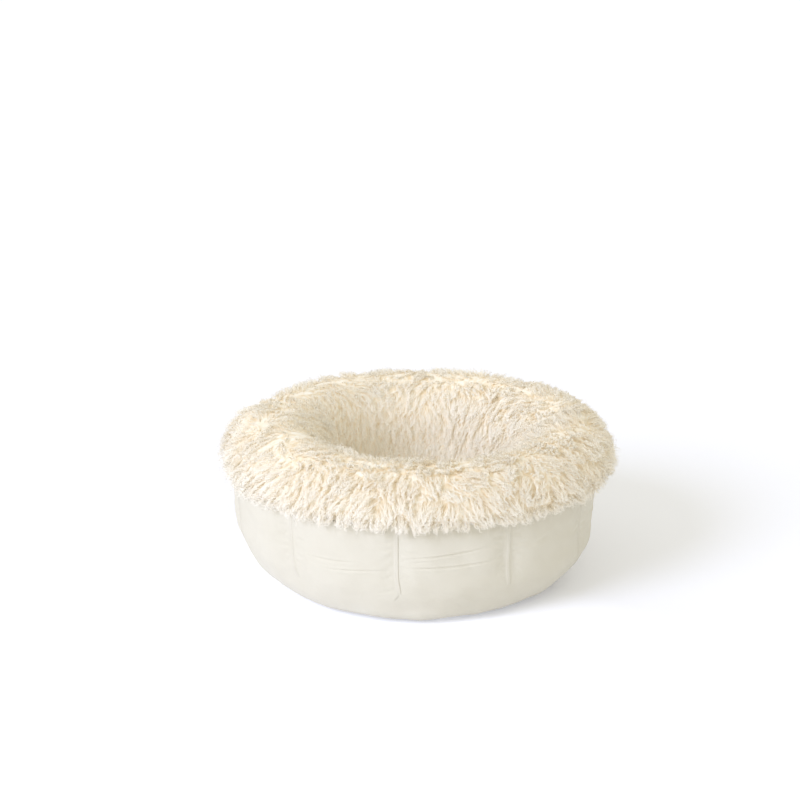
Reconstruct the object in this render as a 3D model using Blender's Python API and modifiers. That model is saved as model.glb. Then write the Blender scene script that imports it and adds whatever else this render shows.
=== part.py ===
"""A round dog bed: a darted cloth wall, a long-pile rim round a deep hollow,
a stuffed ring and a seat pad inside, and a zip low on the back of the wall.

Metres, +Z up, origin at the middle of the face that stands on the floor.
The front of the bed faces -Y. A bearing is measured from +X towards +Y.
"""

import math
from math import cos, pi, radians, sin, tau

import bmesh
import bpy
from mathutils import Matrix, Vector

# Gap between neighbouring pieces, how far a cutter runs past what it cuts,
# and the distance within which a turned outline's ends are one point
clearance = 0.0003
overrun = 0.005
merge_distance = 0.0001

# Columns round every turned piece
ring_steps = 48

# Cloth wall
wall_foot_radius = 0.276
wall_rim_radius = 0.2825
foot_rounding = 0.087
rim_seam_height = 0.172
wall_cloth = 0.0025

# Stuffed ring under the pile
crown_height = 0.2345
well_radius = 0.1785
bolster_slack = 0.006
casing_cloth = 0.0012

# Pile on the rim
pile_height = 0.020
pile_overhang = 0.0245
hem_overlap = 0.012
tuft_depth = 0.004
long_wave_share = 0.45
parting_depth = 0.007
parting_bearing = radians(207)
parting_half_width = radians(14)

# Darts sewn into the wall
dart_count = 10
first_dart_bearing = radians(-96)
dart_end_height = 0.061
pucker_length = 0.007
pucker_depth = 0.0014
tuck_width = 0.005
tuck_slope = 0.002
tuck_rise = 0.0012
dart_draw = 0.001
panel_bulge = 0.0028

# Base
base_panel_radius = 0.185
base_cloth = 0.0025
piping_diameter = 0.0025

# Seat pad
seat_seam_height = 0.0715
seat_cloth = 0.0015
seat_pile = 0.019
seat_crown = 0.010
seat_edge_rounding = 0.016

# Seam bindings
binding_width = 0.008

# Filling slits of the two casings
slit_length = 0.09
slit_width = 0.002

# Zip: its place on the rounded foot of the wall, and its rows and tapes
zip_slope = radians(32)
zip_bearing = radians(90)
zip_steps = 38
zip_step_angle = tau / 96
row_gap = 0.002
row_width = 0.0024
row_thickness = 0.0026
tape_width = 0.0105
tape_cloth = 0.0006
tape_depth = 0.0038
tape_tail_steps = 2
slot_half_width = 0.0072
slot_steps = zip_steps // 2
slot_tail = 0.006
stop_length = 0.003

# Zip slider and its pull
slider_gap = 0.0005
slider_length = 0.013
slider_plate = 0.0011
slider_flange = 0.0013
slider_web = 0.001
slider_taper_share = 0.88
strap_size = 0.0014
strap_half_length = 0.0052
eye_radius = 0.0029
eye_hole_radius = 0.0014
pull_length = 0.024
pull_half_width = 0.0035
pull_corner = 0.002
pull_thickness = 0.0016

# Sizes that follow from the ones above
rim_radius = wall_rim_radius + pile_overhang
rim_inner_radius = well_radius - pile_height
crown_half_width = (wall_rim_radius - well_radius) / 2
crown_middle = (wall_rim_radius + well_radius) / 2
crown_centre_height = crown_height - crown_half_width
hem_height = rim_seam_height - hem_overlap
foot_middle = wall_foot_radius - foot_rounding
foot_opening = base_panel_radius + 2 * clearance + piping_diameter
dart_end_slope = math.asin((foot_rounding - dart_end_height) / foot_rounding)
zip_arc = zip_steps * zip_step_angle
zip_start = zip_bearing - zip_arc / 2
zip_stop = zip_bearing + zip_arc / 2
row_depth = tape_depth + (tape_cloth - row_thickness) / 2


def make_collection(name):
    collection = bpy.data.collections.new(name)
    bpy.context.scene.collection.children.link(collection)
    return collection


def make_material(name, colour, roughness, metallic=0.0):
    material = bpy.data.materials.new(name)
    material.use_nodes = True
    shader = material.node_tree.nodes["Principled BSDF"]
    shader.inputs["Base Color"].default_value = (*colour, 1.0)
    shader.inputs["Roughness"].default_value = roughness
    shader.inputs["Metallic"].default_value = metallic
    return material


def add_object(name, mesh, material=None, collection=None):
    item = bpy.data.objects.new(name, mesh)
    (collection or parts).objects.link(item)
    if material:
        mesh.materials.append(material)
    return item


def finish_mesh(bm, name):
    bmesh.ops.recalc_face_normals(bm, faces=bm.faces)
    mesh = bpy.data.meshes.new(name)
    bm.to_mesh(mesh)
    bm.free()
    mesh.shade_smooth()
    mesh.set_sharp_from_angle(angle=radians(40))
    return mesh


def make_cutter(item):
    item.hide_render = True
    item.display_type = "WIRE"
    return item


def cut(item, cutter):
    modifier = item.modifiers.new("cut " + cutter.name, "BOOLEAN")
    modifier.operation = "DIFFERENCE"
    modifier.object = cutter


def frozen_mesh(item):
    """The evaluated mesh of an object, with its modifiers applied."""
    graph = bpy.context.evaluated_depsgraph_get()
    return bpy.data.meshes.new_from_object(item.evaluated_get(graph))


def clockwise(outline):
    """The outline, reversed if need be, so that its outer side runs down."""
    area = 0.0
    for (r0, z0), (r1, z1) in zip(outline, outline[1:] + outline[:1]):
        area += r0 * z1 - r1 * z0
    return outline if area < 0 else outline[::-1]


def turned(name, outline, material=None, collection=None):
    """A ring or disc: an outline of (radius, height) points turned about Z."""
    outline = clockwise(outline)
    bm = bmesh.new()
    points = [bm.verts.new((r, 0.0, z)) for r, z in outline]
    for here, there in zip(points, points[1:] + points[:1]):
        on_axis = here.co.x == 0.0 and there.co.x == 0.0
        if not on_axis:
            bm.edges.new((here, there))
    mesh = bpy.data.meshes.new(name)
    bm.to_mesh(mesh)
    bm.free()
    item = add_object(name, mesh, material, collection)
    screw = item.modifiers.new("turn", "SCREW")
    screw.steps = ring_steps
    screw.render_steps = ring_steps
    screw.use_merge_vertices = True
    screw.merge_threshold = merge_distance
    return item


def sector(name, outline, start, stop, steps, material=None, collection=None):
    """Part of a ring: an outline swept from one bearing to another."""
    bm = bmesh.new()
    place = Matrix.Rotation(start, 4, "Z")
    corners = [bm.verts.new(place @ Vector((r, 0.0, z))) for r, z in outline]
    face = bm.faces.new(corners)
    bmesh.ops.spin(
        bm,
        geom=[face] + list(face.edges) + corners,
        cent=(0, 0, 0),
        axis=(0, 0, 1),
        angle=stop - start,
        steps=steps,
    )
    return add_object(name, finish_mesh(bm, name), material, collection)


def extruded(name, outline, thickness):
    """A mesh: an outline in XY, extruded evenly to both sides of Z = 0."""
    bm = bmesh.new()
    face = bm.faces.new([bm.verts.new((x, y, -thickness / 2)) for x, y in outline])
    grown = bmesh.ops.extrude_face_region(bm, geom=[face])
    moved = [v for v in grown["geom"] if isinstance(v, bmesh.types.BMVert)]
    bmesh.ops.translate(bm, vec=(0, 0, thickness), verts=moved)
    return finish_mesh(bm, name)


def arc(middle, height, radius, start, stop, steps, radius_z=None):
    """Points of an arc about (middle, height), angles from the +radius side."""
    radius_z = radius if radius_z is None else radius_z
    angles = [start + (stop - start) * i / steps for i in range(steps + 1)]
    return [(middle + radius * cos(a), height + radius_z * sin(a)) for a in angles]


def wall_radius(height, depth=0.0):
    """Radius of the straight part of the wall, depth below its outer face."""
    rise = (height - foot_rounding) / (crown_centre_height - foot_rounding)
    return wall_foot_radius + (wall_rim_radius - wall_foot_radius) * rise - depth


def foot_point(depth, slope):
    """A point on the wall's rounded foot; slope 0 is its top, 90 degrees its bottom."""
    radius = foot_rounding - depth
    return (foot_middle + radius * cos(slope), foot_rounding - radius * sin(slope))


def foot_height(radius):
    """Height of the cloth's upper face at a radius, on the base or the wall's foot."""
    inner_rounding = foot_rounding - wall_cloth
    across = max(radius - foot_middle, 0.0)
    on_foot = foot_rounding - math.sqrt(inner_rounding**2 - across**2)
    return max(base_cloth, on_foot)


def foot_rows(depth, coarse_steps=5):
    """Points up the rounded foot, closer together at the ends of the darts."""
    above_end = math.asin(
        (foot_rounding - dart_end_height - pucker_length) / foot_rounding
    )
    slopes = [
        pi / 2 + (dart_end_slope - pi / 2) * i / coarse_steps
        for i in range(coarse_steps + 1)
    ]
    return [foot_point(depth, slope) for slope in slopes + [above_end, 0.0]]


def wall_rows():
    """Outer face of the wall as (radius, height), from the base to the rim seam."""
    straight_shares = (0.45, 1.0)
    rows = foot_rows(0.0)
    for share in straight_shares:
        height = foot_rounding + (rim_seam_height - foot_rounding) * share
        rows.append((wall_radius(height), height))
    return rows


def limited(value):
    return max(0.0, min(1.0, value))


def wall_columns():
    """Bearings of the wall's columns, each with what is sewn or stuffed there."""
    crest = tuck_width / 2 / wall_rim_radius
    root = crest + tuck_slope / wall_rim_radius
    panel_shares = (1 / 3, 2 / 3)
    spacing = tau / dart_count
    columns = []
    for dart in range(dart_count):
        middle = first_dart_bearing + dart * spacing
        columns.append((middle - root, "root"))
        columns.append((middle - crest, "crest"))
        columns.append((middle + crest, "crest"))
        columns.append((middle + root, "root"))
        for share in panel_shares:
            columns.append((middle + root + (spacing - 2 * root) * share, "panel"))
    return columns


def wall_offset(height, kind):
    """How far the cloth stands out, or is drawn in, at one place on the wall."""
    tuck = limited((height - dart_end_height) / pucker_length)
    pucker = limited(1 - abs(height - dart_end_height) / pucker_length)
    panel_foot = dart_end_height - 2 * pucker_length
    up = limited((height - panel_foot) / (rim_seam_height - panel_foot))
    if kind == "panel":
        return panel_bulge * sin(pi * up)
    drawn = -dart_draw * tuck - pucker_depth * pucker
    return drawn + (tuck_rise * tuck if kind == "crest" else 0.0)


def wall_body():
    """The solid within the wall's outer face: a loft through its unlike rows."""
    bm = bmesh.new()
    rings = []
    for radius, height in wall_rows():
        sink = limited((foot_rounding - height) / foot_rounding)
        slope = math.asin(sink)
        ring = []
        for bearing, kind in wall_columns():
            out = wall_offset(height, kind)
            r = radius + out * cos(slope)
            z = height - out * sin(slope)
            ring.append(bm.verts.new((r * cos(bearing), r * sin(bearing), z)))
        rings.append(ring)
    for low, high in zip(rings, rings[1:]):
        for i in range(len(low)):
            j = (i + 1) % len(low)
            bm.faces.new((low[i], low[j], high[j], high[i]))
    bm.faces.new(rings[0][::-1])
    bm.faces.new(rings[-1])
    return finish_mesh(bm, "wall_cover")


def make_wall_cover(material):
    wall = add_object("wall_cover", wall_body(), material)
    inner = [
        (r, z) for r, z in foot_rows(wall_cloth)[1:] if r > foot_opening
    ]
    top = rim_seam_height + overrun
    core = [(0.0, -overrun), (foot_opening, -overrun), (foot_opening, wall_cloth)]
    core += inner
    core += [(wall_radius(top, wall_cloth), top), (0.0, top)]
    cut(wall, make_cutter(turned("wall_core", core, None, cutters)))
    cut(wall, make_zip_slot())
    return wall


def make_zip_slot():
    half = slot_half_width / foot_rounding
    tail = slot_tail / foot_middle
    outline = [
        foot_point(-overrun, zip_slope - half),
        foot_point(-overrun, zip_slope + half),
        foot_point(wall_cloth + overrun, zip_slope + half),
        foot_point(wall_cloth + overrun, zip_slope - half),
    ]
    slot = sector(
        "zip_slot", outline, zip_start - tail, zip_stop + tail, slot_steps, None, cutters
    )
    return make_cutter(slot)


def make_base_panel(material):
    bm = bmesh.new()
    bmesh.ops.create_cone(
        bm,
        cap_ends=True,
        segments=ring_steps,
        radius1=base_panel_radius,
        radius2=base_panel_radius,
        depth=base_cloth,
    )
    panel = add_object("base_panel", finish_mesh(bm, "base_panel"), material)
    panel.location.z = base_cloth / 2
    return panel


def make_base_piping(material):
    radius = piping_diameter / 2
    middle = base_panel_radius + clearance + radius
    outline = arc(middle, radius, radius, 0, tau * 5 / 6, 5)
    return turned("base_piping", outline, material)


def core_crown(depth, steps=6):
    """The stuffed ring's round top, from its outer side over to its inner side."""
    radius = crown_half_width - depth
    return arc(crown_middle, crown_centre_height, radius, 0, pi, steps)


def make_rim_seam_binding(material):
    low = rim_seam_height + clearance
    high = low + binding_width
    outline = [
        (wall_radius(low), low),
        (wall_radius(high), high),
        (wall_radius(high, wall_cloth - clearance), high),
        (wall_radius(low, wall_cloth - clearance), low),
    ]
    return turned("rim_seam_binding", outline, material)


def make_seat_seam_binding(material):
    high = seat_seam_height
    low = high - binding_width
    outer = well_radius + wall_cloth - clearance
    outline = [(well_radius, low), (well_radius, high), (outer, high), (outer, low)]
    return turned("seat_seam_binding", outline, material)


def rim_outline():
    """Section of the rim cover: its backing round the ring, then the pile's face."""
    step = rim_seam_height + binding_width + 2 * clearance
    pile_foot = seat_seam_height + clearance
    middle = (rim_radius + rim_inner_radius) / 2
    half_width = (rim_radius - rim_inner_radius) / 2
    half_height = crown_height + pile_height - crown_centre_height
    hem_turn = -math.asin((crown_centre_height - hem_height) / half_height)
    hem_inner_radius = wall_radius(step) + panel_bulge + tuck_rise + clearance
    backing = [(hem_inner_radius, hem_height), (hem_inner_radius, step)]
    backing.append((wall_radius(step, wall_cloth), step))
    backing += core_crown(wall_cloth)
    backing.append((well_radius + wall_cloth, pile_foot))
    wall_share = 0.5
    halfway = pile_foot + (crown_centre_height - pile_foot) * wall_share
    face = [(rim_inner_radius, pile_foot), (rim_inner_radius, halfway)]
    face += arc(
        middle, crown_centre_height, half_width, pi, hem_turn, 11, half_height
    )
    return backing, face


def tuft_share(bearing, turn):
    """How far the pile lies below its fullest, 0 to 1, at one place on the rim."""
    long_waves = sin(2 * bearing + 0.6 * turn) ** 2
    short_waves = sin(6 * bearing + 1.7 * turn) ** 2
    return long_wave_share * long_waves + (1 - long_wave_share) * short_waves


def parting_share(bearing, turn):
    """1 along the parting that crosses the rim, falling to 0 on either side."""
    away = (bearing - parting_bearing + pi) % tau - pi
    beside = limited(1 - abs(away + 0.12 * (turn - pi / 2)) / parting_half_width)
    along = limited(sin(turn))
    return beside * along


def make_rim_fur_cover(material):
    backing, face = rim_outline()
    turned_rim = turned("rim_fur_cover", backing + face, material)
    mesh = frozen_mesh(turned_rim)
    middle = (rim_radius + rim_inner_radius) / 2
    inner_face = set((round(r, 5), round(z, 5)) for r, z in face)
    for vertex in mesh.vertices:
        radius = math.hypot(vertex.co.x, vertex.co.y)
        if (round(radius, 5), round(vertex.co.z, 5)) not in inner_face:
            continue
        bearing = math.atan2(vertex.co.y, vertex.co.x)
        turn = math.atan2(vertex.co.z - crown_centre_height, radius - middle)
        foot_share = limited((vertex.co.z - seat_seam_height) / pile_height)
        sink = tuft_depth * tuft_share(bearing, turn) * foot_share
        sink += parting_depth * parting_share(bearing, turn)
        radius -= sink * cos(turn)
        vertex.co.x = radius * cos(bearing)
        vertex.co.y = radius * sin(bearing)
        vertex.co.z -= sink * sin(turn)
    mesh.shade_smooth()
    mesh.set_sharp_from_angle(angle=radians(60))
    bpy.data.objects.remove(turned_rim)
    return add_object("rim_fur_cover", mesh)


def make_bolster(casing_material, filling_material):
    """The stuffed ring: a lining bag, open at its filling slit, and its filling."""
    outer_inset = wall_cloth + clearance
    inner_inset = outer_inset + casing_cloth
    filling_inset = inner_inset + clearance
    casing = turned("bolster_casing", bolster_outline(outer_inset), casing_material)
    hollow = turned("bolster_hollow", bolster_outline(inner_inset), None, cutters)
    cut(casing, make_cutter(hollow))
    slit = slit_cutter("bolster_slit", slit_length, slit_width, 2 * overrun)
    slit.location = (0, -crown_middle, crown_height - outer_inset)
    cut(casing, slit)
    filling = turned("bolster_filling", bolster_outline(filling_inset), filling_material)
    return casing, filling


def bolster_outline(inset):
    """Section of the stuffed ring, inset from the cover's outer face.

    Its foot follows the wall's rounding from where the ring's inner face meets it.
    """
    foot = foot_rounding - inset
    foot_centre = foot_middle - bolster_slack
    inner = well_radius + inset
    slope = math.acos(limited((inner - foot_centre) / foot))
    outline = [(inner, foot_rounding - foot * sin(slope))]
    outline += arc(foot_centre, foot_rounding, foot, -slope, 0, 3)
    outline += core_crown(inset)
    return outline


def slit_cutter(name, length, width, depth):
    bm = bmesh.new()
    bmesh.ops.create_cube(bm, size=1.0)
    bmesh.ops.scale(bm, vec=(length, width, depth), verts=bm.verts)
    return make_cutter(add_object(name, finish_mesh(bm, name), None, cutters))


def pad_outline(inset):
    """Section of the seat pad: a flat foot, rounded edge and crowned top."""
    radius = well_radius - clearance - inset
    low = foot_height(well_radius) + clearance + inset
    high = seat_seam_height - seat_cloth - clearance - inset
    rounding = seat_edge_rounding - inset
    outline = [(0.0, low)]
    outline += arc(radius - rounding, low + rounding, rounding, -pi / 2, 0, 3)
    outline += arc(radius - rounding, high - rounding, rounding, 0, pi / 2, 3)
    outline += crowned_points(radius - rounding, high)[1:]
    return outline


def crowned_points(radius, height):
    """Points of the crown, from its edge in to the middle of the bed."""
    reach_shares = (1.0, 0.7, 0.35, 0.0)
    return [
        (radius * share, height + seat_crown * crown_share(radius * share))
        for share in reach_shares
    ]


def crown_share(radius):
    """Height of the crown at a radius: 0 at the pad's flat edge, 1 in the middle."""
    flat_edge = well_radius - clearance - seat_edge_rounding
    return limited(1 - (radius / flat_edge) ** 2)


def make_seat_pad(casing_material, filling_material):
    casing = turned("seat_casing", pad_outline(0.0), casing_material)
    hollow = turned("seat_hollow", pad_outline(casing_cloth), None, cutters)
    cut(casing, make_cutter(hollow))
    slit = slit_cutter("seat_slit", slit_length, 2 * casing_cloth + overrun, slit_width)
    slit.location = (0, -well_radius, seat_seam_height / 2)
    cut(casing, slit)
    filling = turned(
        "seat_filling", pad_outline(casing_cloth + clearance), filling_material
    )
    return casing, filling


def make_seat_fur_cover(material):
    edge = well_radius - clearance
    pad_edge = edge - seat_edge_rounding
    pile_edge = rim_inner_radius - clearance
    pile_rounding = seat_pile / 2
    low = seat_seam_height - seat_cloth
    underside = crowned_points(pad_edge, low)[::-1]
    outline = underside + [(edge, low), (edge, seat_seam_height)]
    outline.append((pile_edge, seat_seam_height))
    top = seat_seam_height + seat_pile
    outline += arc(
        pile_edge - pile_rounding, top - pile_rounding, pile_rounding, 0, pi / 2, 3
    )
    outline += crowned_points(pile_edge - pile_rounding, top)[1:]
    return turned("seat_fur_cover", outline, material)


def zip_point(across, depth):
    """A point of the zip's section: across it, up the wall, and below the cloth."""
    return foot_point(depth, zip_slope - across / foot_rounding)


def zip_band(name, near, far, depth, thickness, start, stop, steps, material):
    outline = [
        zip_point(near, depth),
        zip_point(far, depth),
        zip_point(far, depth + thickness),
        zip_point(near, depth + thickness),
    ]
    return sector(name, outline, start, stop, steps, material)


def make_zip_tapes(material):
    near = row_gap / 2 + row_width + clearance
    far = near + tape_width
    tail = tape_tail_steps * zip_step_angle
    steps = zip_steps + 2 * tape_tail_steps
    for name, side in (("zip_tape_upper", 1), ("zip_tape_lower", -1)):
        zip_band(
            name, side * near, side * far, tape_depth, tape_cloth,
            zip_start - tail, zip_stop + tail, steps, material,
        )


def make_zip_rows(material):
    near = row_gap / 2
    far = near + row_width
    for name, side in (("zip_coil_upper", 1), ("zip_coil_lower", -1)):
        zip_band(
            name, side * near, side * far, row_depth, row_thickness,
            zip_start, zip_stop, zip_steps, material,
        )


def make_zip_stops(material):
    half = row_gap / 2 + row_width
    radius = foot_point(row_depth, zip_slope)[0]
    gap = clearance / radius
    length = stop_length / radius
    ends = (
        ("zip_closed_stop", zip_start - gap - length, zip_start - gap),
        ("zip_open_stop", zip_stop + gap, zip_stop + gap + length),
    )
    for name, start, stop in ends:
        zip_band(
            name, -half, half, row_depth, row_thickness, start, stop, 1, material
        )


def slider_bearing():
    radius = foot_point(row_depth, zip_slope)[0]
    return zip_start + (slider_length / 2 + slider_gap) / radius


def zip_frame():
    """Axes at the slider: along the zip, up across it, and out of the wall."""
    bearing = slider_bearing()
    radius, height = foot_point(0.0, zip_slope)
    place = Matrix.Rotation(bearing, 4, "Z") @ Matrix.Translation((radius, 0, height))
    tilt = Matrix.Rotation(zip_slope, 4, "Y")
    axes = Matrix(((0, 0, 1, 0), (1, 0, 0, 0), (0, 1, 0, 0), (0, 0, 0, 1)))
    return place @ tilt @ axes


def slider_levels():
    """Heights above the cloth of the slider's faces, from its top plate down."""
    top_inner = -row_depth + slider_gap
    top_outer = top_inner + slider_plate
    top_flange = -tape_depth + slider_gap
    low_flange = -tape_depth - tape_cloth - slider_gap
    low_inner = -row_depth - row_thickness - slider_gap
    low_outer = low_inner - slider_plate
    return top_outer, top_inner, top_flange, low_flange, low_inner, low_outer


def slider_section():
    """The slider's section: two plates with turned-in flanges, joined by a web."""
    top_outer, top_inner, top_flange, low_flange, low_inner, low_outer = slider_levels()
    inside = row_gap / 2 + row_width + slider_gap
    wide = inside + slider_flange
    web = slider_web / 2
    right = [
        (wide, top_outer), (wide, top_flange), (inside, top_flange),
        (inside, top_inner), (web, top_inner), (web, low_inner),
        (inside, low_inner), (inside, low_flange), (wide, low_flange),
        (wide, low_outer),
    ]
    return right + [(-x, y) for x, y in reversed(right)]


def slider_body():
    """The plates and web, narrower at the tail than at the mouth."""
    mesh = extruded("zip_slider", slider_section(), slider_length)
    inside = row_gap / 2 + row_width + slider_gap
    wide = inside + slider_flange
    for vertex in mesh.vertices:
        at_tail = vertex.co.z < 0
        if at_tail and abs(vertex.co.x) > wide - clearance:
            vertex.co.x *= slider_taper_share
    turn = Matrix(((0, 0, 1, 0), (1, 0, 0, 0), (0, 1, 0, 0), (0, 0, 0, 1)))
    mesh.transform(turn)
    return mesh


def bail_axis_height():
    """Height of the bail's bar above the cloth; the pull's eye turns round it."""
    return slider_levels()[0] + eye_radius + slider_gap


def bail_mesh():
    """The bail: an arch along the slider, its feet sunk into the top plate."""
    foot = slider_levels()[0] - slider_plate / 2
    low = bail_axis_height() - strap_size / 2
    high = low + strap_size
    half = strap_half_length
    inner = half - strap_size
    corner = strap_size / 2
    outline = [
        (-half, foot), (-half, high - corner), (-half + corner, high),
        (half - corner, high), (half, high - corner), (half, foot),
        (inner, foot), (inner, low), (-inner, low), (-inner, foot),
    ]
    mesh = extruded("bail", outline, strap_size)
    mesh.transform(Matrix.Rotation(pi / 2, 4, "X"))
    return mesh


def make_zip_slider(material):
    slider = add_object("zip_slider", slider_body(), material)
    bail = make_cutter(add_object("bail", bail_mesh(), None, cutters))
    join = slider.modifiers.new("join bail", "BOOLEAN")
    join.operation = "UNION"
    join.object = bail
    slider.matrix_world = zip_frame()
    bail.matrix_world = zip_frame()
    return slider


def pull_outline():
    """The pull's outline, hanging down from its eye at the origin."""
    low = -pull_length
    half = pull_half_width
    points = arc(0, 0, eye_radius, 0, pi, 6)
    shoulder = -2 * eye_radius
    points.append((-half, shoulder))
    points += arc(-half + pull_corner, low + pull_corner, pull_corner, pi, 3 * pi / 2, 3)
    points += arc(
        half - pull_corner, low + pull_corner, pull_corner, -pi / 2, 0, 3
    )
    points.append((half, shoulder))
    return points


def make_zip_pull(material):
    curve = bpy.data.curves.new("zip_pull", "CURVE")
    curve.dimensions = "2D"
    curve.fill_mode = "BOTH"
    curve.extrude = pull_thickness / 2
    hole = arc(0, 0, eye_hole_radius, 0, tau * 11 / 12, 11)
    for outline in (pull_outline(), hole):
        spline = curve.splines.new("POLY")
        spline.points.add(len(outline) - 1)
        spline.use_cyclic_u = True
        for point, (x, y) in zip(spline.points, outline):
            point.co = (x, y, 0, 1)
    pull = bpy.data.objects.new("zip_pull", curve)
    curve.materials.append(material)
    parts.objects.link(pull)
    middle = zip_frame() @ Vector((0, 0, bail_axis_height()))
    upright = Matrix.Rotation(pi / 2, 4, "X")
    pull.matrix_world = (
        Matrix.Translation(middle) @ Matrix.Rotation(slider_bearing(), 4, "Z") @ upright
    )
    return pull


def build():
    cream_cloth = make_material("brushed_cream_cloth", (0.80, 0.76, 0.68), 0.85)
    cream_fur = make_material("cream_pile", (0.83, 0.74, 0.60), 0.95)
    seat_fur = make_material("seat_pile", (0.78, 0.68, 0.53), 0.95)
    base_cloth_look = make_material("base_cloth", (0.55, 0.51, 0.45), 0.9)
    piping_look = make_material("piping_cord", (0.72, 0.67, 0.58), 0.8)
    tape_look = make_material("seam_tape", (0.74, 0.70, 0.62), 0.85)
    lining = make_material("lining_cloth", (0.88, 0.88, 0.86), 0.8)
    fibre = make_material("fibre_filling", (0.92, 0.92, 0.92), 1.0)
    zip_cloth = make_material("zip_tape_cloth", (0.70, 0.66, 0.58), 0.8)
    zip_nylon = make_material("zip_nylon", (0.66, 0.61, 0.52), 0.4)
    zip_metal = make_material("zip_metal", (0.62, 0.60, 0.56), 0.3, 1.0)
    make_base_panel(base_cloth_look)
    make_base_piping(piping_look)
    make_wall_cover(cream_cloth)
    make_rim_seam_binding(tape_look)
    make_seat_seam_binding(tape_look)
    make_rim_fur_cover(cream_fur)
    make_seat_fur_cover(seat_fur)
    make_bolster(lining, fibre)
    make_seat_pad(lining, fibre)
    make_zip_tapes(zip_cloth)
    make_zip_rows(zip_nylon)
    make_zip_stops(zip_metal)
    make_zip_slider(zip_metal)
    make_zip_pull(zip_metal)


for item in list(bpy.data.objects):
    bpy.data.objects.remove(item)
parts = make_collection("dog_bed")
cutters = make_collection("cutters")
build()
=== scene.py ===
"""Visual model of the dog bed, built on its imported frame."""

import math
from math import cos, pi, radians, sin, tau

import bpy
import numpy as np
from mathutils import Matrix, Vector


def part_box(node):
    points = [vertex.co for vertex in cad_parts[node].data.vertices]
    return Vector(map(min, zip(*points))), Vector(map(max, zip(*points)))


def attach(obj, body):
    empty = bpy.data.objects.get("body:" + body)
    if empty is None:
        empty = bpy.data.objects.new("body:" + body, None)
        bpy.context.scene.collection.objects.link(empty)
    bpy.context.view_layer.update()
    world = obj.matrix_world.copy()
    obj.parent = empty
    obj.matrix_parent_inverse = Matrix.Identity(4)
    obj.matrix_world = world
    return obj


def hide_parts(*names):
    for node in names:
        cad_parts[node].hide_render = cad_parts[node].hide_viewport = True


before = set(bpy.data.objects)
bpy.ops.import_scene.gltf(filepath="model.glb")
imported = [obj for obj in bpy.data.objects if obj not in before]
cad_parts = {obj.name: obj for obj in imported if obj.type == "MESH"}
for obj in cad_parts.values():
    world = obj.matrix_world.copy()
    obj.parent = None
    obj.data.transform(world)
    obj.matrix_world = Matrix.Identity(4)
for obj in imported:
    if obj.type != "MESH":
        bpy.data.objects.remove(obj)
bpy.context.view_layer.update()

# Wall: its straight part, its rounded foot and its seams, in metres.
wall_foot_radius = 0.276
wall_rim_radius = 0.2825
foot_rounding = 0.087
foot_opening = 0.1881
rim_seam_height = 0.172
wall_shift = -0.004
wall_row_step = 0.0026
fold_row_step = 0.0011
fold_band = (0.088, 0.137)
wall_column_step = 0.0031
dart_column_step = 0.0007
dart_column_reach = 0.012

# Stuffed ring under the pile.
crown_height = 0.2345
well_radius = 0.1785
bolster_slack = 0.006

# Darts: two stitched lines each, ending in a pucker.
dart_count = 10
dart_shares = (1.0, 0.75, 0.25, 0.7, 0.9, 1.0, 0.9, 0.8, 0.3, 0.35)
first_dart_bearing = radians(-95.2)
dart_end_height = 0.061
tuck_width = 0.0052
tuck_rise = 0.0012
tuck_shoulder = 0.0008
tuck_rounding = 0.0036
dart_draw = 0.0009
dart_draw_reach = 0.010
panel_bulge = 0.0030
stitch_pitch = 0.0030
stitch_length = 0.0022
stitch_radius = 0.00028
groove_depth = 0.0009
groove_width = 0.0006
pucker_rise = 0.007
crease_width = 0.0019
pucker_fans = (-78, -38, -6, 30, 68)
pucker_reaches = (0.009, 0.024)
pucker_depths = (0.0001, 0.0005)
pucker_inset = 0.004
panel_foot = 0.03
panel_above_rim = 0.02
panel_edge_reach = 0.030
stitch_lifts = (-0.0004, 0.0001, 0.00025, 0.0001, -0.0004)
stitch_start = 0.002
stitch_taper = (0.6, 1, 1, 1, 0.6)
stitch_sides = 5

# Soft folds of the wall: bearings in degrees from the front, heights, depth, width.
seen_folds = (
    ((-36.0, 0.109), (-25.8, 0.1085), (-16.0, 0.112), 0.0009, 0.0021),
    ((-30.0, 0.0935), (-18.2, 0.097), (-7.0, 0.101), 0.0012, 0.0019),
    ((-4.0, 0.120), (11.0, 0.126), (26.0, 0.134), 0.0016, 0.0019),
    ((-3.0, 0.112), (2.0, 0.116), (8.0, 0.118), 0.0006, 0.0019),
    ((-5.5, 0.106), (11.0, 0.1065), (28.5, 0.111), 0.0016, 0.0019),
    ((33.0, 0.114), (40.0, 0.124), (48.0, 0.131), 0.0005, 0.0036),
    ((-13.0, 0.061), (-9.0, 0.0655), (-5.0, 0.071), 0.0006, 0.0022),
    ((-7.4, 0.0470), (-6.2, 0.0530), (-5.0, 0.0600), 0.0012, 0.0016),
)
fold_seed = 11
folds_per_panel = 3
unseen_panels = (84, 300, 36.0)
unseen_starts = (-15, 0)
unseen_reaches = (9, 22)
unseen_heights = (0.085, 0.13)
unseen_tilts = (-0.006, 0.010)
unseen_bends = (-0.002, 0.002)
unseen_depths = (0.0009, 0.0015)
unseen_widths = (0.0028, 0.0038)
foot_corner_bearings = (-176, -140, -108, -72, -35, 1.5, 22, 51, 71, 104, 139)
foot_corner_depth = 0.0022
foot_flat_height = 0.075
foot_spread = 0.018
spread_height = 0.004
spread_reach = 0.022
spread_start = 0.003
spread_bearings = (-62, -42, 0, 22, 46, 72)
spread_shares = (0.0, 0.35, 1.0, 0.75, 0.25, 0.0)

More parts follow.
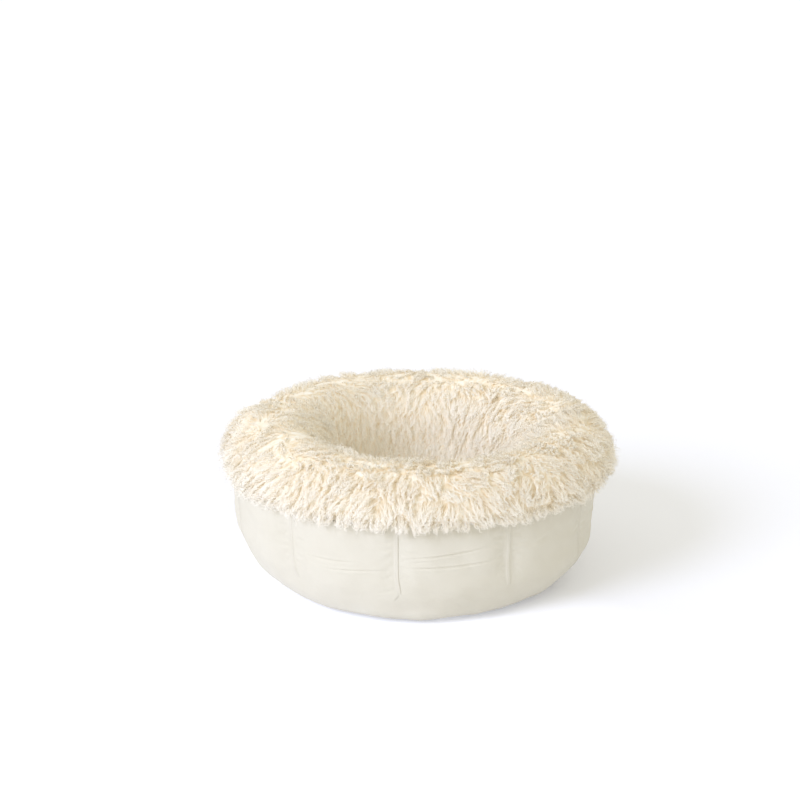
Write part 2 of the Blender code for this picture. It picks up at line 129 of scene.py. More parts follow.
# Slow waves of the cloth, and how they calm down at the darts and at the slot.
long_wave = 0.075
long_wave_rise = 0.0011
short_wave = 0.024
short_wave_rise = 0.0003
wave_calm_reach = 0.008
wave_calm_rise = 0.02
slot_calm_up = 0.014
slot_calm_round = 0.02
shift_start = 0.055
shift_fade = 0.04
slack_fade = 0.05
least_height = 0.0003

# Loosening of the wall by its stuffing.
slack_columns = 320
slack_rows = 42
slack_frames = 22
slack_cap = 0.0016
held_at_foot = 0.006
held_at_rim = 0.010
held_at_dart = 0.012
held_below_dart = 0.004
held_fade = 0.006
cloth_settings = {
    "quality": 6,
    "mass": 0.25,
    "tension_stiffness": 18,
    "compression_stiffness": 12,
    "shear_stiffness": 6,
    "bending_stiffness": 0.35,
    "vertex_group_mass": "held",
    "pin_stiffness": 5,
    "shrink_min": -0.018,
    "use_pressure": True,
    "uniform_pressure_force": 4.0,
}

# Pile: how its locks stand on the rim and on the seat.
crown_middle = (wall_rim_radius + well_radius) / 2
crown_half_width = (wall_rim_radius - well_radius) / 2
crown_centre_height = crown_height - crown_half_width
hem_height = 0.1800
hem_radius = 0.2850
seat_height = 0.0725
seat_crown = 0.010
seat_edge_radius = 0.1625
pile_shift = 0.0035
back_swell = 0.0055
right_shoulder = radians(25)
right_swell = 0.0065
left_shoulder = radians(172)
left_swell = 0.012
inner_swell = 0.013
inner_hollow = 0.004
root_lift = 0.0130
undercoat_lift = 0.0130
undercoat_lumps = 0.0012
lip_tuck = 0.0045
ridge_wavelength = 0.0065
ridge_stretch_share = 0.3
lock_spacing = 0.0064
seat_spacing = 0.0075
hem_fill_reach = 0.011
strands_per_lock = 8
strand_points = 17
strand_half_width = 0.00036
tip_half_width = 0.00012
facing_share = 0.65
# Strength of the pile's faint glow: painted light in place of the light that its fibres pass on to
# each other.
pile_painted_glow = 0.098
lock_half_width = 0.0036
gather_share = 0.78
smooth_share = 0.68
tuft_spacing = 0.030
tuft_pull_share = 0.50
rim_lock_length = 0.0345
seat_lock_length = 0.027
curl_reach = 0.0022
frizz_reach = 0.0008
calm_bearing = radians(150)
parting_bearing = radians(207)
parting_half_width = radians(14)
rim_sectors = 20
seat_sectors = 4
pile_seed = 5
root_rise_reach = 0.022
swell_start_reach = 0.03
side_wave = 0.11
swirl_wave = 0.085
hem_reach = 0.030
seat_wave = 0.13
right_half_width = radians(24)
left_half_width = radians(10)
inner_fade = 0.09
root_sink = 0.002
seat_pile_span = (0.004, 0.172)
lip_start = -0.0003
rim_skin_rows = 100
rim_skin_columns = 860
seat_skin_reach = 0.178
seat_skin_rows = 46
seat_skin_columns = 260
skin_rise_reach = 0.012
lump_wave = 0.030
sway_wave = 0.020

# Leans of the pile's locks from upright, at the root and at the tip.
root_lean = radians(52)
root_lean_less_at_hem = radians(36)
root_lean_more_at_parting = radians(20)
root_lean_more_when_calm = radians(14)
root_lean_of_fill = radians(64)
root_lean_spread = radians(9)
tip_lean = radians(84)
tip_lean_less_at_hem = radians(30)
tip_lean_less_at_top = radians(4)
tip_lean_more_when_calm = radians(3)
tip_lean_of_fill = radians(80)
tip_lean_spread = radians(13)
seat_root_lean = radians(50)
seat_root_spread = radians(11)
seat_tip_lean = radians(88)
seat_tip_spread = radians(16)

# Zip, low on the back of the wall.
zip_slope = radians(32)
zip_bearing = radians(90)
zip_arc = 38 * tau / 96
row_gap = 0.002
row_width = 0.0024
row_thickness = 0.0026
tape_width = 0.0105
tape_depth = 0.0038
tape_cloth = 0.0006
slot_half_width = 0.0072
slot_tail = 0.006
tape_meets = 0.0034
tooth_pitch = 0.0016
slot_corner = 0.003
slot_hem_columns = 420
slot_end_rows = 9
slot_hem_roll = ((-0.0002, 0), (0.0004, -0.0002), (0.0007, -0.0009), (0.0005, -0.0017), (0, -0.0024))
slot_seam_tail = 0.008
slot_seam_gap = 0.0035
slot_seam_closer = 1.3
row_clearance = 0.0003
tape_tail = 2 * tau / 96
tapes_apart = 0.00015
tape_turn = 0.0012
tape_sink = 0.0002
tape_rib = 0.00005
tape_ribs = 1400
tape_line = 0.00006
tape_pitch = 0.0016
tape_rows = 15
tape_columns = 1100
coil_wire = 0.00042
coil_reach = 0.0002
coil_steps = 11
coil_sides = 5
cord_radius = 0.00055
cord_points = 300
cord_sides = 6
edge_bevel = 0.00018
edge_angle = radians(35)

# Base cloth, the covered cord in its seam, and the bindings of the two hidden seams.
base_radius = 0.185
base_thickness = 0.0025
base_rings = (0.0, 0.06, 0.12, 0.16)
base_edge_turn = 0.0012
base_edge_gap = 0.0002
base_edge_rise = 0.0006
base_columns = 360
base_weave = 0.0011
base_grain = 0.0003
piping_middle = 0.18655
piping_height = 0.00125
piping_radius = 0.00118
piping_sides = 12
piping_columns = 1440
piping_twist = 0.00006
piping_twists = 620
binding_end_gap = 0.0004
binding_face_gap = 0.0003
binding_depth = 0.0019
binding_rows = 9
binding_columns = 720
binding_rib = 0.00008
binding_ribs = 900

# Stuffed bags: how far the lining and the fibre lie inside the ring and the pad.
ring_lining_inset = 0.0030
ring_fibre_inset = 0.0058
pad_fibre_inset = 0.0028
pad_gap = 0.0006
pad_rounding = 0.016
pad_bottom = 0.0030
pad_top = 0.0694
pad_crown_loss = 0.001
pad_top_shares = (0.85, 0.7, 0.5, 0.3, 0.15, 0.0)
stuffing_columns = 240
gather_waves = (0.030, 0.011)
gather_start = 0.0004
gather_depth = 0.0003
clump_wave = 0.014
clump_start = 0.0006
clump_depth = 0.0005

# Camera: the photograph's place and angle.
camera_distance = 4.0
camera_elevation = radians(19.84)
camera_aim_height = 0.1
camera_lens = 113.4
camera_sensor = 36.0
image_focal = 2520.0
aim_pixel = (17.3, 108.0)

# Light: a soft key from the front left and an even surround.
key_strength = 1.48
key_softness = radians(26)
key_direction = (0.63, 0.61, -0.50)
key_colour = (0.92, 0.985, 1.30)
surround_strength = 0.78
surround_colour = (1.0, 0.98, 0.88, 1)
floor_glow = 0.165
# The floor glows more towards the front of the bed: painted light that lifts the bed's shade on the
# floor there.
front_glow = 0.45
front_glow_way = (-0.55, -0.83, 0.0)
front_glow_band = (-0.05, 0.16)
glow_colour = (0.87, 0.90, 1.0, 1)
other_ray_share = 0.25
floor_colours = ((0.88, 0.885, 0.92, 1), (0.89, 0.895, 0.93, 1))
floor_half_width = 40.0
floor_drop = 0.0001

# Finishes: name, colour and second shade; then the weave's period and depth for cloth.
strand_grain = 0.00005
fibre_grain = 0.004
scuff_depth = 0.0001
cloth_shine = {"Sheen Weight": 0.25, "Sheen Roughness": 0.45, "Specular IOR Level": 0.22}
pile_shine_and_glow = {
    "Sheen Weight": 0.1,
    "Sheen Roughness": 0.6,
    "Sheen Tint": (1.0, 0.96, 0.88, 1),
    "Specular IOR Level": 0.3,
    # The pile glows faintly in its middle colour: painted light.
    "Emission Strength": pile_painted_glow,
}
wall_colours = (0.775, 0.739, 0.630, 1), (0.731, 0.692, 0.577, 1)
hem_colours = (0.82, 0.78, 0.70, 1), (0.74, 0.69, 0.60, 1)
thread_colours = (0.80, 0.76, 0.68, 1), (0.70, 0.65, 0.56, 1)
piping_colours = (0.78, 0.74, 0.66, 1), (0.68, 0.63, 0.54, 1)
tape_colours = (0.76, 0.73, 0.66, 1), (0.66, 0.62, 0.54, 1)
lining_colours = (0.86, 0.86, 0.84, 1), (0.78, 0.78, 0.75, 1)
zip_tape_colours = (0.76, 0.71, 0.62, 1), (0.66, 0.61, 0.52, 1)
nylon_colours = (0.72, 0.67, 0.57, 1), (0.64, 0.58, 0.48, 1)
metal_colours = (0.66, 0.64, 0.60, 1), (0.54, 0.52, 0.48, 1)
base_colours = (0.62, 0.58, 0.51, 1), (0.54, 0.50, 0.43, 1), (0.80, 0.79, 0.76, 1)
fibre_colours = (0.90, 0.90, 0.89, 1), (0.72, 0.72, 0.70, 1)
# Pile colours: root, middle and tip; the darker, warmer root is painted shade deep in the pile.
rim_colours = (0.82, 0.68, 0.455, 1), (0.93, 0.872, 0.745, 1), (0.97, 0.950, 0.90, 1)
seat_colours = (0.75, 0.62, 0.43, 1), (0.90, 0.83, 0.69, 1), (0.955, 0.92, 0.84, 1)
cloth_looks = {
    "wall": ("brushed cloth", *wall_colours, 0.0012, 0.00022, True),
    "hem": ("brushed cloth edge", *hem_colours, 0.0012, 0.0002),
    "thread": ("thread", *thread_colours, 0.0006, 0.0001),
    "piping": ("piping", *piping_colours, 0.0008, 0.0002),
    "tape": ("seam tape", *tape_colours, 0.0007, 0.0002),
    "lining": ("lining", *lining_colours, 0.0009, 0.0002),
    "zip tape": ("zip tape", *zip_tape_colours, 0.0006, 0.0002),
}
pile_looks = {"rim": ("rim pile", *rim_colours), "seat": ("seat pile", *seat_colours)}
hard_looks = {
    "nylon": ("zip nylon", *nylon_colours, 0.0, 0.30, 0.48, 900.0),
    "metal": ("zip metal", *metal_colours, 1.0, 0.20, 0.42, 1200.0),
}
base_finish = ("base cloth", *base_colours, 0.012)
fibre_finish = ("fibre", *fibre_colours)

foot_middle = wall_foot_radius - foot_rounding
foot_length = foot_rounding * pi / 2
foot_lip = foot_middle - foot_opening
wall_length = foot_lip + foot_length + rim_seam_height - foot_rounding
wall_lean = (wall_rim_radius - wall_foot_radius) / (crown_centre_height - foot_rounding)
front = radians(-90)


def feed(tree, made, inputs):
    """Gives a node's inputs their values, or the sockets that feed them."""
    for key, value in inputs.items():
        if isinstance(value, bpy.types.NodeSocket):
            tree.links.new(value, made.inputs[key])
        else:
            made.inputs[key].default_value = value


def node(tree, kind, inputs=None, **settings):
    """Adds a shader node; inputs are values or the sockets that feed it."""
    made = tree.nodes.new(kind)
    for key, value in settings.items():
        setattr(made, key, value)
    feed(tree, made, inputs or {})
    return made


def new_material(name, constants):
    material = bpy.data.materials.new(name)
    material.use_nodes = True
    tree = material.node_tree
    shader = tree.nodes["Principled BSDF"]
    feed(tree, shader, constants)
    return material, tree, shader


def place_on(tree):
    """The place on the piece, in its own axes."""
    return node(tree, "ShaderNodeTexCoord").outputs["Object"]


def number_on(tree, name):
    """A number that the mesh carries at each of its points."""
    return node(tree, "ShaderNodeAttribute", attribute_name=name).outputs["Fac"]


def grain(tree, height, depth, strength):
    """Fine relief in the shading."""
    inputs = {"Height": height, "Distance": depth, "Strength": strength}
    return node(tree, "ShaderNodeBump", inputs).outputs["Normal"]


def mixed(tree, share, first, second):
    """Output of a colour mix; share, first and second are values or sockets."""
    made = node(tree, "ShaderNodeMix", data_type="RGBA", blend_type="MIX")
    feed(tree, made, {0: share, 6: first, 7: second})
    return made.outputs[2]


def spread(tree, value, low, high, start=0.0, stop=1.0):
    """Output that runs from low to high as value runs from start to stop."""
    inputs = {
        "Value": value,
        "From Min": start,
        "From Max": stop,
        "To Min": low,
        "To Max": high,
    }
    return node(tree, "ShaderNodeMapRange", inputs).outputs["Result"]


def noise_of(tree, place, scale, detail=3.0):
    inputs = {"Vector": place, "Scale": scale, "Detail": detail}
    return node(tree, "ShaderNodeTexNoise", inputs).outputs["Fac"]


def ridges_of(tree, place, period, direction):
    """Even ridges, one every period metres along a direction."""
    inputs = {"Vector": place, "Scale": tau / 20 / period, "Distortion": 0.6}
    inputs["Detail"] = 1.0
    made = node(tree, "ShaderNodeTexWave", inputs, bands_direction=direction)
    return made.outputs["Fac"]


def added(tree, first, second, share):
    """First plus a share of second, all numbers."""
    inputs = {0: second, 1: share, 2: first}
    return node(tree, "ShaderNodeMath", inputs, operation="MULTIPLY_ADD").outputs[0]


def cloth_material(name, colour, shade, period, depth, on_cut=False):
    """Woven cloth: ridges of the weave with painted shade in its hollows, stray fibres and slow
    changes of shade.

    on_cut lays the weave on the cloth's own flat cut; otherwise it follows the axes.
    """
    material, tree, shader = new_material(name, cloth_shine)
    place = place_on(tree)
    weave = place
    if on_cut:
        weave = node(tree, "ShaderNodeUVMap", uv_map="cut").outputs["UV"]
    warp = ridges_of(tree, weave, period, "X")
    weft = ridges_of(tree, weave, period, "Y")
    crossed = node(tree, "ShaderNodeMath", {0: warp, 1: weft}, operation="MULTIPLY").outputs[0]
    patches = noise_of(tree, place, 11.0)
    naps = noise_of(tree, place, 160.0, 4.0)
    fibres = noise_of(tree, place, 1900.0, 2.0)
    slow = mixed(tree, spread(tree, patches, 0.0, 1.0, 0.3, 0.7), colour, shade)
    lit = mixed(tree, spread(tree, naps, 0.0, 0.22, 0.4, 0.75), slow, shade)
    height = added(tree, added(tree, crossed, fibres, 0.9), naps, 1.4)
    finish = {
        # The weave's hollows are a little darker: painted shade.
        "Base Color": mixed(tree, spread(tree, crossed, 0.10, 0.0), lit, shade),
        "Roughness": spread(tree, fibres, 0.78, 0.97, 0.25, 0.75),
        "Normal": grain(tree, height, depth, 0.5),
    }
    feed(tree, shader, finish)
    return material


def pile_material(name, root, middle, tip):
    """Pile strands: darker at the root, painted shade deep in the pile; pale at the tip, no two
    quite the same; a faint glow in their middle colour, painted light.
    """
    material, tree, shader = new_material(name, pile_shine_and_glow)
    along, tone = number_on(tree, "along"), number_on(tree, "tone")
    place = place_on(tree)
    patches = noise_of(tree, place, 24.0)
    # Darker towards the root: painted shade deep in the pile.
    low = mixed(tree, spread(tree, along, 0.0, 1.0, 0.0, 0.5), root, middle)
    strand = mixed(tree, spread(tree, along, 0.0, 1.0, 0.45, 1.0), low, tip)
    warm = mixed(tree, spread(tree, tone, 0.0, 0.38), strand, middle)
    finish = {
        "Base Color": mixed(tree, spread(tree, patches, 0.0, 0.22, 0.35, 0.75), warm, root),
        # The strands glow faintly in their middle colour: painted light.
        "Emission Color": middle,
        "Roughness": spread(tree, tone, 0.55, 0.80),
        "Normal": grain(tree, noise_of(tree, place, 1500.0, 2.0), strand_grain, 0.2),
    }
    feed(tree, shader, finish)
    return material


def fibre_material(name, colour, shade):
    """Loose fibre: matted tufts with hollows between them, the hollows painted darker as shade."""
    material, tree, shader = new_material(name, {"Sheen Weight": 0.3})
    place = place_on(tree)
    tufts = noise_of(tree, place, 70.0, 6.0)
    fuzz = noise_of(tree, place, 900.0, 3.0)
    finish = {
        # Darker in the hollows between the tufts: painted shade.
        "Base Color": mixed(tree, spread(tree, tufts, 0.0, 1.0, 0.3, 0.7), shade, colour),
        "Roughness": spread(tree, fuzz, 0.85, 1.0),
        "Normal": grain(tree, added(tree, tufts, fuzz, 0.3), fibre_grain, 0.8),
    }
    feed(tree, shader, finish)
    return material


def hard_material(name, colour, shade, metallic, low, high, scale):
    """Moulded nylon or plated metal: fine scuffs that change its shine."""
    material, tree, shader = new_material(name, {"Metallic": metallic})
    place = place_on(tree)
    scuffs = noise_of(tree, place, scale, 5.0)
    clouds = noise_of(tree, place, scale / 12, 2.0)
    finish = {
        "Base Color": mixed(tree, spread(tree, clouds, 0.0, 1.0, 0.3, 0.7), colour, shade),
        "Roughness": spread(tree, scuffs, low, high, 0.3, 0.7),
        "Normal": grain(tree, scuffs, scuff_depth, 0.3),
    }
    feed(tree, shader, finish)
    return material


def grip_material(name, colour, shade, dots, period):
    """The base's coarse cloth, dotted with small round grips."""
    material = cloth_material(name, colour, shade, base_weave, base_grain)
    tree = material.node_tree
    shader = tree.nodes["Principled BSDF"]
    inputs = {"Vector": place_on(tree), "Scale": 1 / period, "Randomness": 0.0}
    cells = node(tree, "ShaderNodeTexVoronoi", inputs, voronoi_dimensions="2D")
    on_dot = spread(tree, cells.outputs["Distance"], 1.0, 0.0, 0.24, 0.28)
    woven = shader.inputs["Base Color"].links[0].from_socket
    feed(tree, shader, {"Base Color": mixed(tree, on_dot, woven, dots)})
    return material


def add_object(name, mesh, material, body="bed"):
    item = bpy.data.objects.new(name, mesh)
    bpy.context.scene.collection.objects.link(item)
    mesh.materials.clear()
    mesh.materials.append(material)
    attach(item, body)
    return item


def quad_mesh(name, points, quads):
    """A smooth mesh from points and four-cornered faces."""
    mesh = bpy.data.meshes.new(name)
    mesh.vertices.add(len(points))
    mesh.vertices.foreach_set("co", np.asarray(points, np.float32).ravel())
    mesh.loops.add(quads.size)
    mesh.loops.foreach_set("vertex_index", np.asarray(quads, np.int32).ravel())
    mesh.polygons.add(len(quads))
    starts = np.arange(0, quads.size, 4, dtype=np.int32)
    mesh.polygons.foreach_set("loop_start", starts)
    mesh.polygons.foreach_set("use_smooth", np.ones(len(quads), bool))
    mesh.update(calc_edges=True)
    return mesh


def grid_quads(rows, columns, close_rows=False, close_columns=True):
    """Faces over a grid of points, rows by columns, wrapped where it closes."""
    row = np.arange(rows if close_rows else rows - 1)
    column = np.arange(columns if close_columns else columns - 1)
    low, left = (x.ravel() for x in np.meshgrid(row, column, indexing="ij"))
    high, right = (low + 1) % rows, (left + 1) % columns
    corners = (low, left), (low, right), (high, right), (high, left)
    return np.stack([r * columns + c for r, c in corners], axis=1)


def eased(value):
    value = np.clip(value, 0.0, 1.0)
    return value * value * (3 - 2 * value)


def hump(value):
    return np.exp(-(value * value))


def smooth_field(points, wavelength, seed, waves=16):
    """A smooth random number at each point, mostly between -1 and 1."""
    rng = np.random.default_rng(seed)
    directions = rng.normal(size=(waves, 3))
    directions /= np.linalg.norm(directions, axis=1)[:, None]
    rates = tau / (wavelength * rng.uniform(0.7, 1.5, waves))
    phases = rng.uniform(0, tau, waves)
    value = np.sin(points @ (directions * rates[:, None]).T + phases)
    return value.sum(axis=-1) / math.sqrt(waves)


def unit(vectors):
    return vectors / np.maximum(np.linalg.norm(vectors, axis=-1, keepdims=True), 1e-9)


def round_axis(radius, height, bearing):
    """Points from radius, height and bearing about the bed's upright axis."""
    parts = radius * np.cos(bearing), radius * np.sin(bearing), height
    return np.stack(np.broadcast_arrays(*parts), axis=-1)


def onward_way(bearing):
    """The level way round the bed's axis."""
    return np.stack([-np.sin(bearing), np.cos(bearing), 0 * bearing], axis=-1)


def tubes(name, paths, radii, sides):
    """Thin tapering tubes along many paths, each in its own cell of the flat layout."""
    count, steps = paths.shape[:2]
    ahead = unit(np.gradient(paths, axis=1))
    whole = unit(paths[:, -1] - paths[:, 0])
    across = unit(np.cross(whole, whole[:, [1, 2, 0]] + 0.3))[:, None, :]
    first = unit(across - (across * ahead).sum(axis=2, keepdims=True) * ahead)
    second = np.cross(ahead, first)
    turn = np.arange(sides) * tau / sides
    ring = (
        first[:, :, None, :] * np.cos(turn)[None, None, :, None]
        + second[:, :, None, :] * np.sin(turn)[None, None, :, None]
    )
    points = paths[:, :, None, :] + ring * radii[:, :, None, None]
    one = grid_quads(steps, sides)
    quads = (np.arange(count) * steps * sides)[:, None, None] + one[None]
    mesh = quad_mesh(name, points.reshape(-1, 3), quads.reshape(-1, 4))
    lay_flat(mesh, count, steps, sides)
    return mesh


def ribbons(name, paths, half_widths, facing, tone):
    """Thin flat strands along many paths, turned and shaded towards the way they face."""
    count, steps = paths.shape[:2]
    ahead = unit(np.gradient(paths, axis=1))
    aside = unit(np.cross(ahead, facing[:, None])) * half_widths[..., None]
    points = np.stack([paths - aside, paths + aside], axis=2)
    one = grid_quads(steps, 2, close_columns=False)
    quads = (np.arange(count) * steps * 2)[:, None, None] + one[None]
    mesh = quad_mesh(name, points.reshape(-1, 3), quads.reshape(-1, 4))
    lay_flat(mesh, count, steps, 1)
    along = np.linspace(0, 1, steps)[None, :, None]
    add_numbers(mesh, "along", np.broadcast_to(along, points.shape[:3]))
    add_numbers(mesh, "tone", np.broadcast_to(tone[:, None, None], points.shape[:3]))
    own = unit(facing[:, None] - (facing[:, None] * ahead).sum(axis=2, keepdims=True) * ahead)
    shown = unit(facing_share * facing[:, None] + (1 - facing_share) * own)
    shown = np.repeat(shown[:, :, None], 2, axis=2).reshape(-1, 3)
    mesh.normals_split_custom_set_from_vertices(shown)
    return mesh


def add_numbers(mesh, name, values):
    made = mesh.attributes.new(name, "FLOAT", "POINT")
    made.data.foreach_set("value", np.asarray(values, np.float32).ravel())


def lay_flat(mesh, count, steps, sides):
    """A flat layout with one small cell for each tube."""
    cells = math.ceil(math.sqrt(count))
    margin_share = 0.15
    row, column = np.meshgrid(np.arange(steps - 1), np.arange(sides), indexing="ij")
    row, column = row.ravel(), column.ravel()
    corners = ((row, column), (row, column + 1), (row + 1, column + 1), (row + 1, column))
    u = np.stack([c / sides for _, c in corners], axis=1)
    v = np.stack([r / (steps - 1) for r, _ in corners], axis=1)
    u, v = (margin_share + (1 - 2 * margin_share) * x for x in (u, v))
    index = np.arange(count)
    left = (index % cells)[:, None, None]
    low = (index // cells)[:, None, None]
    flat = np.stack([(left + u[None]) / cells, (low + v[None]) / cells], axis=-1)
    layer = mesh.uv_layers.new(name="OFBake")
    layer.data.foreach_set("uv", flat.astype(np.float32).ravel())


def wall_section(along):
    """The wall's section, at lengths up from its lip: radius, height, outward way."""
    past_lip = along - foot_lip
    turn = np.clip(past_lip, 0, foot_length) / foot_rounding
    above = np.maximum(past_lip - foot_length, 0)
    lip = np.minimum(past_lip, 0)
    radius = foot_middle + foot_rounding * np.sin(turn) + above * wall_lean + lip
    height = foot_rounding * (1 - np.cos(turn)) + above
    return radius, height, np.sin(turn), -np.cos(turn)


def wall_along(height):
    """Length up from the wall's lip to a height on its outer face."""
    if height > foot_rounding:
        return foot_lip + foot_length + height - foot_rounding
    return foot_lip + foot_rounding * math.acos(1 - height / foot_rounding)


def wall_bearings():
    """Bearings of the wall's columns, closer together at the darts."""
    spacing = tau / dart_count
    reach = dart_column_reach / wall_rim_radius
    fine = np.arange(-reach, reach, dart_column_step / wall_rim_radius)
    plain = np.arange(reach, spacing - reach, wall_column_step / wall_rim_radius)
    darts = first_dart_bearing + spacing * np.arange(dart_count)
    return (darts[:, None] + np.concatenate([fine, plain])).ravel()


def slot_edges():
    """Lengths up the wall to the two edges of the zip's slot."""
    middle = foot_lip + foot_rounding * (pi / 2 - zip_slope)
    return middle - slot_half_width, middle + slot_half_width


def slot_reach():
    """Half the slot's arc, its tail included."""
    return zip_arc / 2 + slot_tail / foot_middle


def wall_lengths():
    """Lengths of the wall's rows, closer together where its folds lie."""
    low, high = slot_edges()
    start, stop = (wall_along(height) for height in fold_band)
    even = np.concatenate(
        [
            np.arange(0, start, wall_row_step),
            np.arange(start, stop, fold_row_step),
            np.append(np.arange(stop, wall_length - wall_row_step / 2, wall_row_step), wall_length),
        ]
    )
    clear = (abs(even - low) > wall_row_step / 3) & (abs(even - high) > wall_row_step / 3)
    return np.sort(np.concatenate([even[clear], [low, high]]))


def turn_from(bearing, middle):
    """How far a bearing lies from a middle one, between minus and plus half a turn."""
    return (bearing - middle + pi) % tau - pi


def dart_distance(bearing):
    """Distance round the wall from the nearest dart, with its sign."""
    spacing = tau / dart_count
    away = (bearing - first_dart_bearing + spacing / 2) % spacing - spacing / 2
    return away * wall_rim_radius


def dart_share(bearing):
    """How strongly the nearest dart is drawn in."""
    nearest = np.rint((bearing - first_dart_bearing) / tau * dart_count).astype(int)
    return np.array(dart_shares)[nearest % dart_count]


def seam_relief(bearing, along, height):
    """The tucks with their stitched grooves, and the panels' swell between them."""
    across = dart_distance(bearing)
    tuck = eased((height - dart_end_height) / pucker_rise) * dart_share(bearing)
    edge = tuck_width / 2
    ridge = eased((edge + tuck_shoulder - across) / tuck_shoulder)
    ridge = ridge * eased((across + edge + tuck_rounding / 2) / tuck_rounding)
    groove = hump((across - edge - tuck_shoulder / 2) / groove_width)
    groove = groove + 0.3 * hump((across + edge) / groove_width)
    pinch = 0.7 + 0.3 * np.sin(tau * along / stitch_pitch)
    draw = hump(across / dart_draw_reach)
    sewn = tuck_rise * ridge - groove_depth * groove * pinch - dart_draw * draw
    up = np.clip((height - panel_foot) / (rim_seam_height + panel_above_rim - panel_foot), 0, 1)
    swell = panel_bulge * np.sin(pi * up) * (1 - hump(across / panel_edge_reach))
    return tuck * sewn + swell


def pucker_relief(bearing, along):
    """Creases that run out from the foot of each dart."""
    rng = np.random.default_rng(fold_seed)
    end = wall_along(dart_end_height)
    relief = np.zeros(np.broadcast(bearing, along).shape)
    fans = np.radians(pucker_fans)
    for dart in range(dart_count):
        middle = first_dart_bearing + dart * tau / dart_count
        x = turn_from(bearing, middle) * (wall_foot_radius - pucker_inset)
        y = along - end
        angles = fans + rng.uniform(-0.2, 0.2, len(fans))
        reaches = rng.uniform(*pucker_reaches, len(fans))
        depths = rng.uniform(*pucker_depths, len(fans)) * dart_shares[dart]
        for angle, reach, depth in zip(angles, reaches, depths):
            run = (x * sin(angle) - y * cos(angle)) / reach
            off = x * cos(angle) + y * sin(angle)
            width = crease_width * (0.7 + 0.6 * np.clip(run, 0, 1))
            fade = eased(run * 5 + 0.6) * eased(1 - run)
            relief -= depth * fade * (hump(off / width) - 0.45 * hump(off / width / 2.2))
    return relief


def fold_relief(bearing, along, points, depth, width):
    """One soft fold: a valley with a ridge above it, along a curve through points."""
    x = np.array([front + radians(degrees) for degrees, _ in points])
    y = np.array([wall_along(height) for _, height in points])
    curve = np.polyfit(x - x[1], y, 2)
    away = turn_from(bearing, x[1])
    start, stop = x[0] - x[1], x[2] - x[1]
    run = (away - start) / (stop - start)
    fade = eased(run * 2.6) * eased((1 - run) * 2.6)
    off = (along - np.polyval(curve, np.clip(away, start, stop))) / width
    shape = 0.6 * hump(off - 1.5) - hump(off) + 0.35 * hump(off + 1.7)
    return depth * fade * shape


def unseen_folds():
    """Folds for the panels that face away, of the same kinds as the front ones."""
    rng = np.random.default_rng(fold_seed + 1)
    folds = []
    for middle in np.arange(*unseen_panels):
        for _ in range(folds_per_panel):
            start = middle + rng.uniform(*unseen_starts)
            stop = start + rng.uniform(*unseen_reaches)
            low, tilt = rng.uniform(*unseen_heights), rng.uniform(*unseen_tilts)
            bend = rng.uniform(*unseen_bends)
            points = (start, low), ((start + stop) / 2, low + tilt / 2 + bend), (stop, low + tilt)
            folds.append((*points, rng.uniform(*unseen_depths), rng.uniform(*unseen_widths)))
    return folds


def foot_flats(bearing, height):
    """The foot's nearly straight stretches between its soft corners."""
    corners = np.radians(foot_corner_bearings) + front
    corners = np.append(corners, corners[0] + tau)
    turned = (bearing - corners[0]) % tau + corners[0]
    after = np.searchsorted(corners, turned, side="right")
    after = np.clip(after, 1, len(corners) - 1)
    run = (turned - corners[after - 1]) / (corners[after] - corners[after - 1])
    return -foot_corner_depth * 4 * run * (1 - run) * eased(1 - height / foot_flat_height)


def foot_settling(bearing, height):
    """How far the foot has spread out over the floor at the front."""
    away = np.degrees(turn_from(bearing, front))
    share = np.interp(away, spread_bearings, spread_shares)
    level = hump((height - spread_height) / spread_reach)
    return foot_spread * share * level * eased(height / spread_start)


def wall_relief(bearing, along):
    """How far the cloth stands out of its plain turned form, place by place."""
    radius, height, _, _ = wall_section(along)
    across = dart_distance(bearing)
    relief = seam_relief(bearing, along, height) + pucker_relief(bearing, along)
    for low, middle, high, depth, width in (*seen_folds, *unseen_folds()):
        relief = relief + fold_relief(bearing, along, (low, middle, high), depth, width)
    relief = relief + foot_flats(bearing, height)
    place = round_axis(radius, height, bearing)
    soft = long_wave_rise * smooth_field(place, long_wave, 3)
    soft = soft + short_wave_rise * smooth_field(place, short_wave, 4)
    above = eased((height - dart_end_height) / wave_calm_rise)
    free = 1 - 0.8 * hump(across / wave_calm_reach) * above
    return (relief + soft * free) * (1 - slot_calm(bearing, along))


def slot_calm(bearing, along):
    """1 at the zip's slot, where the cloth is held flat, falling to 0 round it."""
    low, high = slot_edges()
    away = abs(turn_from(bearing, zip_bearing)) * wall_foot_radius
    end = zip_arc / 2 * wall_foot_radius
    up = np.maximum(low - along, along - high) / slot_calm_up
    beside = (away - end - slot_tail) / slot_calm_round
    return eased(1 - np.maximum(np.maximum(up, beside), 0))


def wall_points(bearing, along, slack, lift=0.0):
    """Points of the wall's outer face, lifted off it where asked."""
    radius, height, out_radius, out_height = wall_section(along)
    relief = wall_relief(bearing, along) + lift
    out = radius + relief * out_radius + foot_settling(bearing, height)
    points = round_axis(out, height + relief * out_height, bearing)
    calm = (1 - slot_calm(bearing, along)) * eased((height - shift_start) / slack_fade)
    if slack is not None:
        points = points + slack_at(slack, bearing, along) * calm[..., None]
    points[..., 0] += wall_shift * eased((height - shift_start) / shift_fade)
    points[..., 2] = np.maximum(points[..., 2], least_height)
    return points


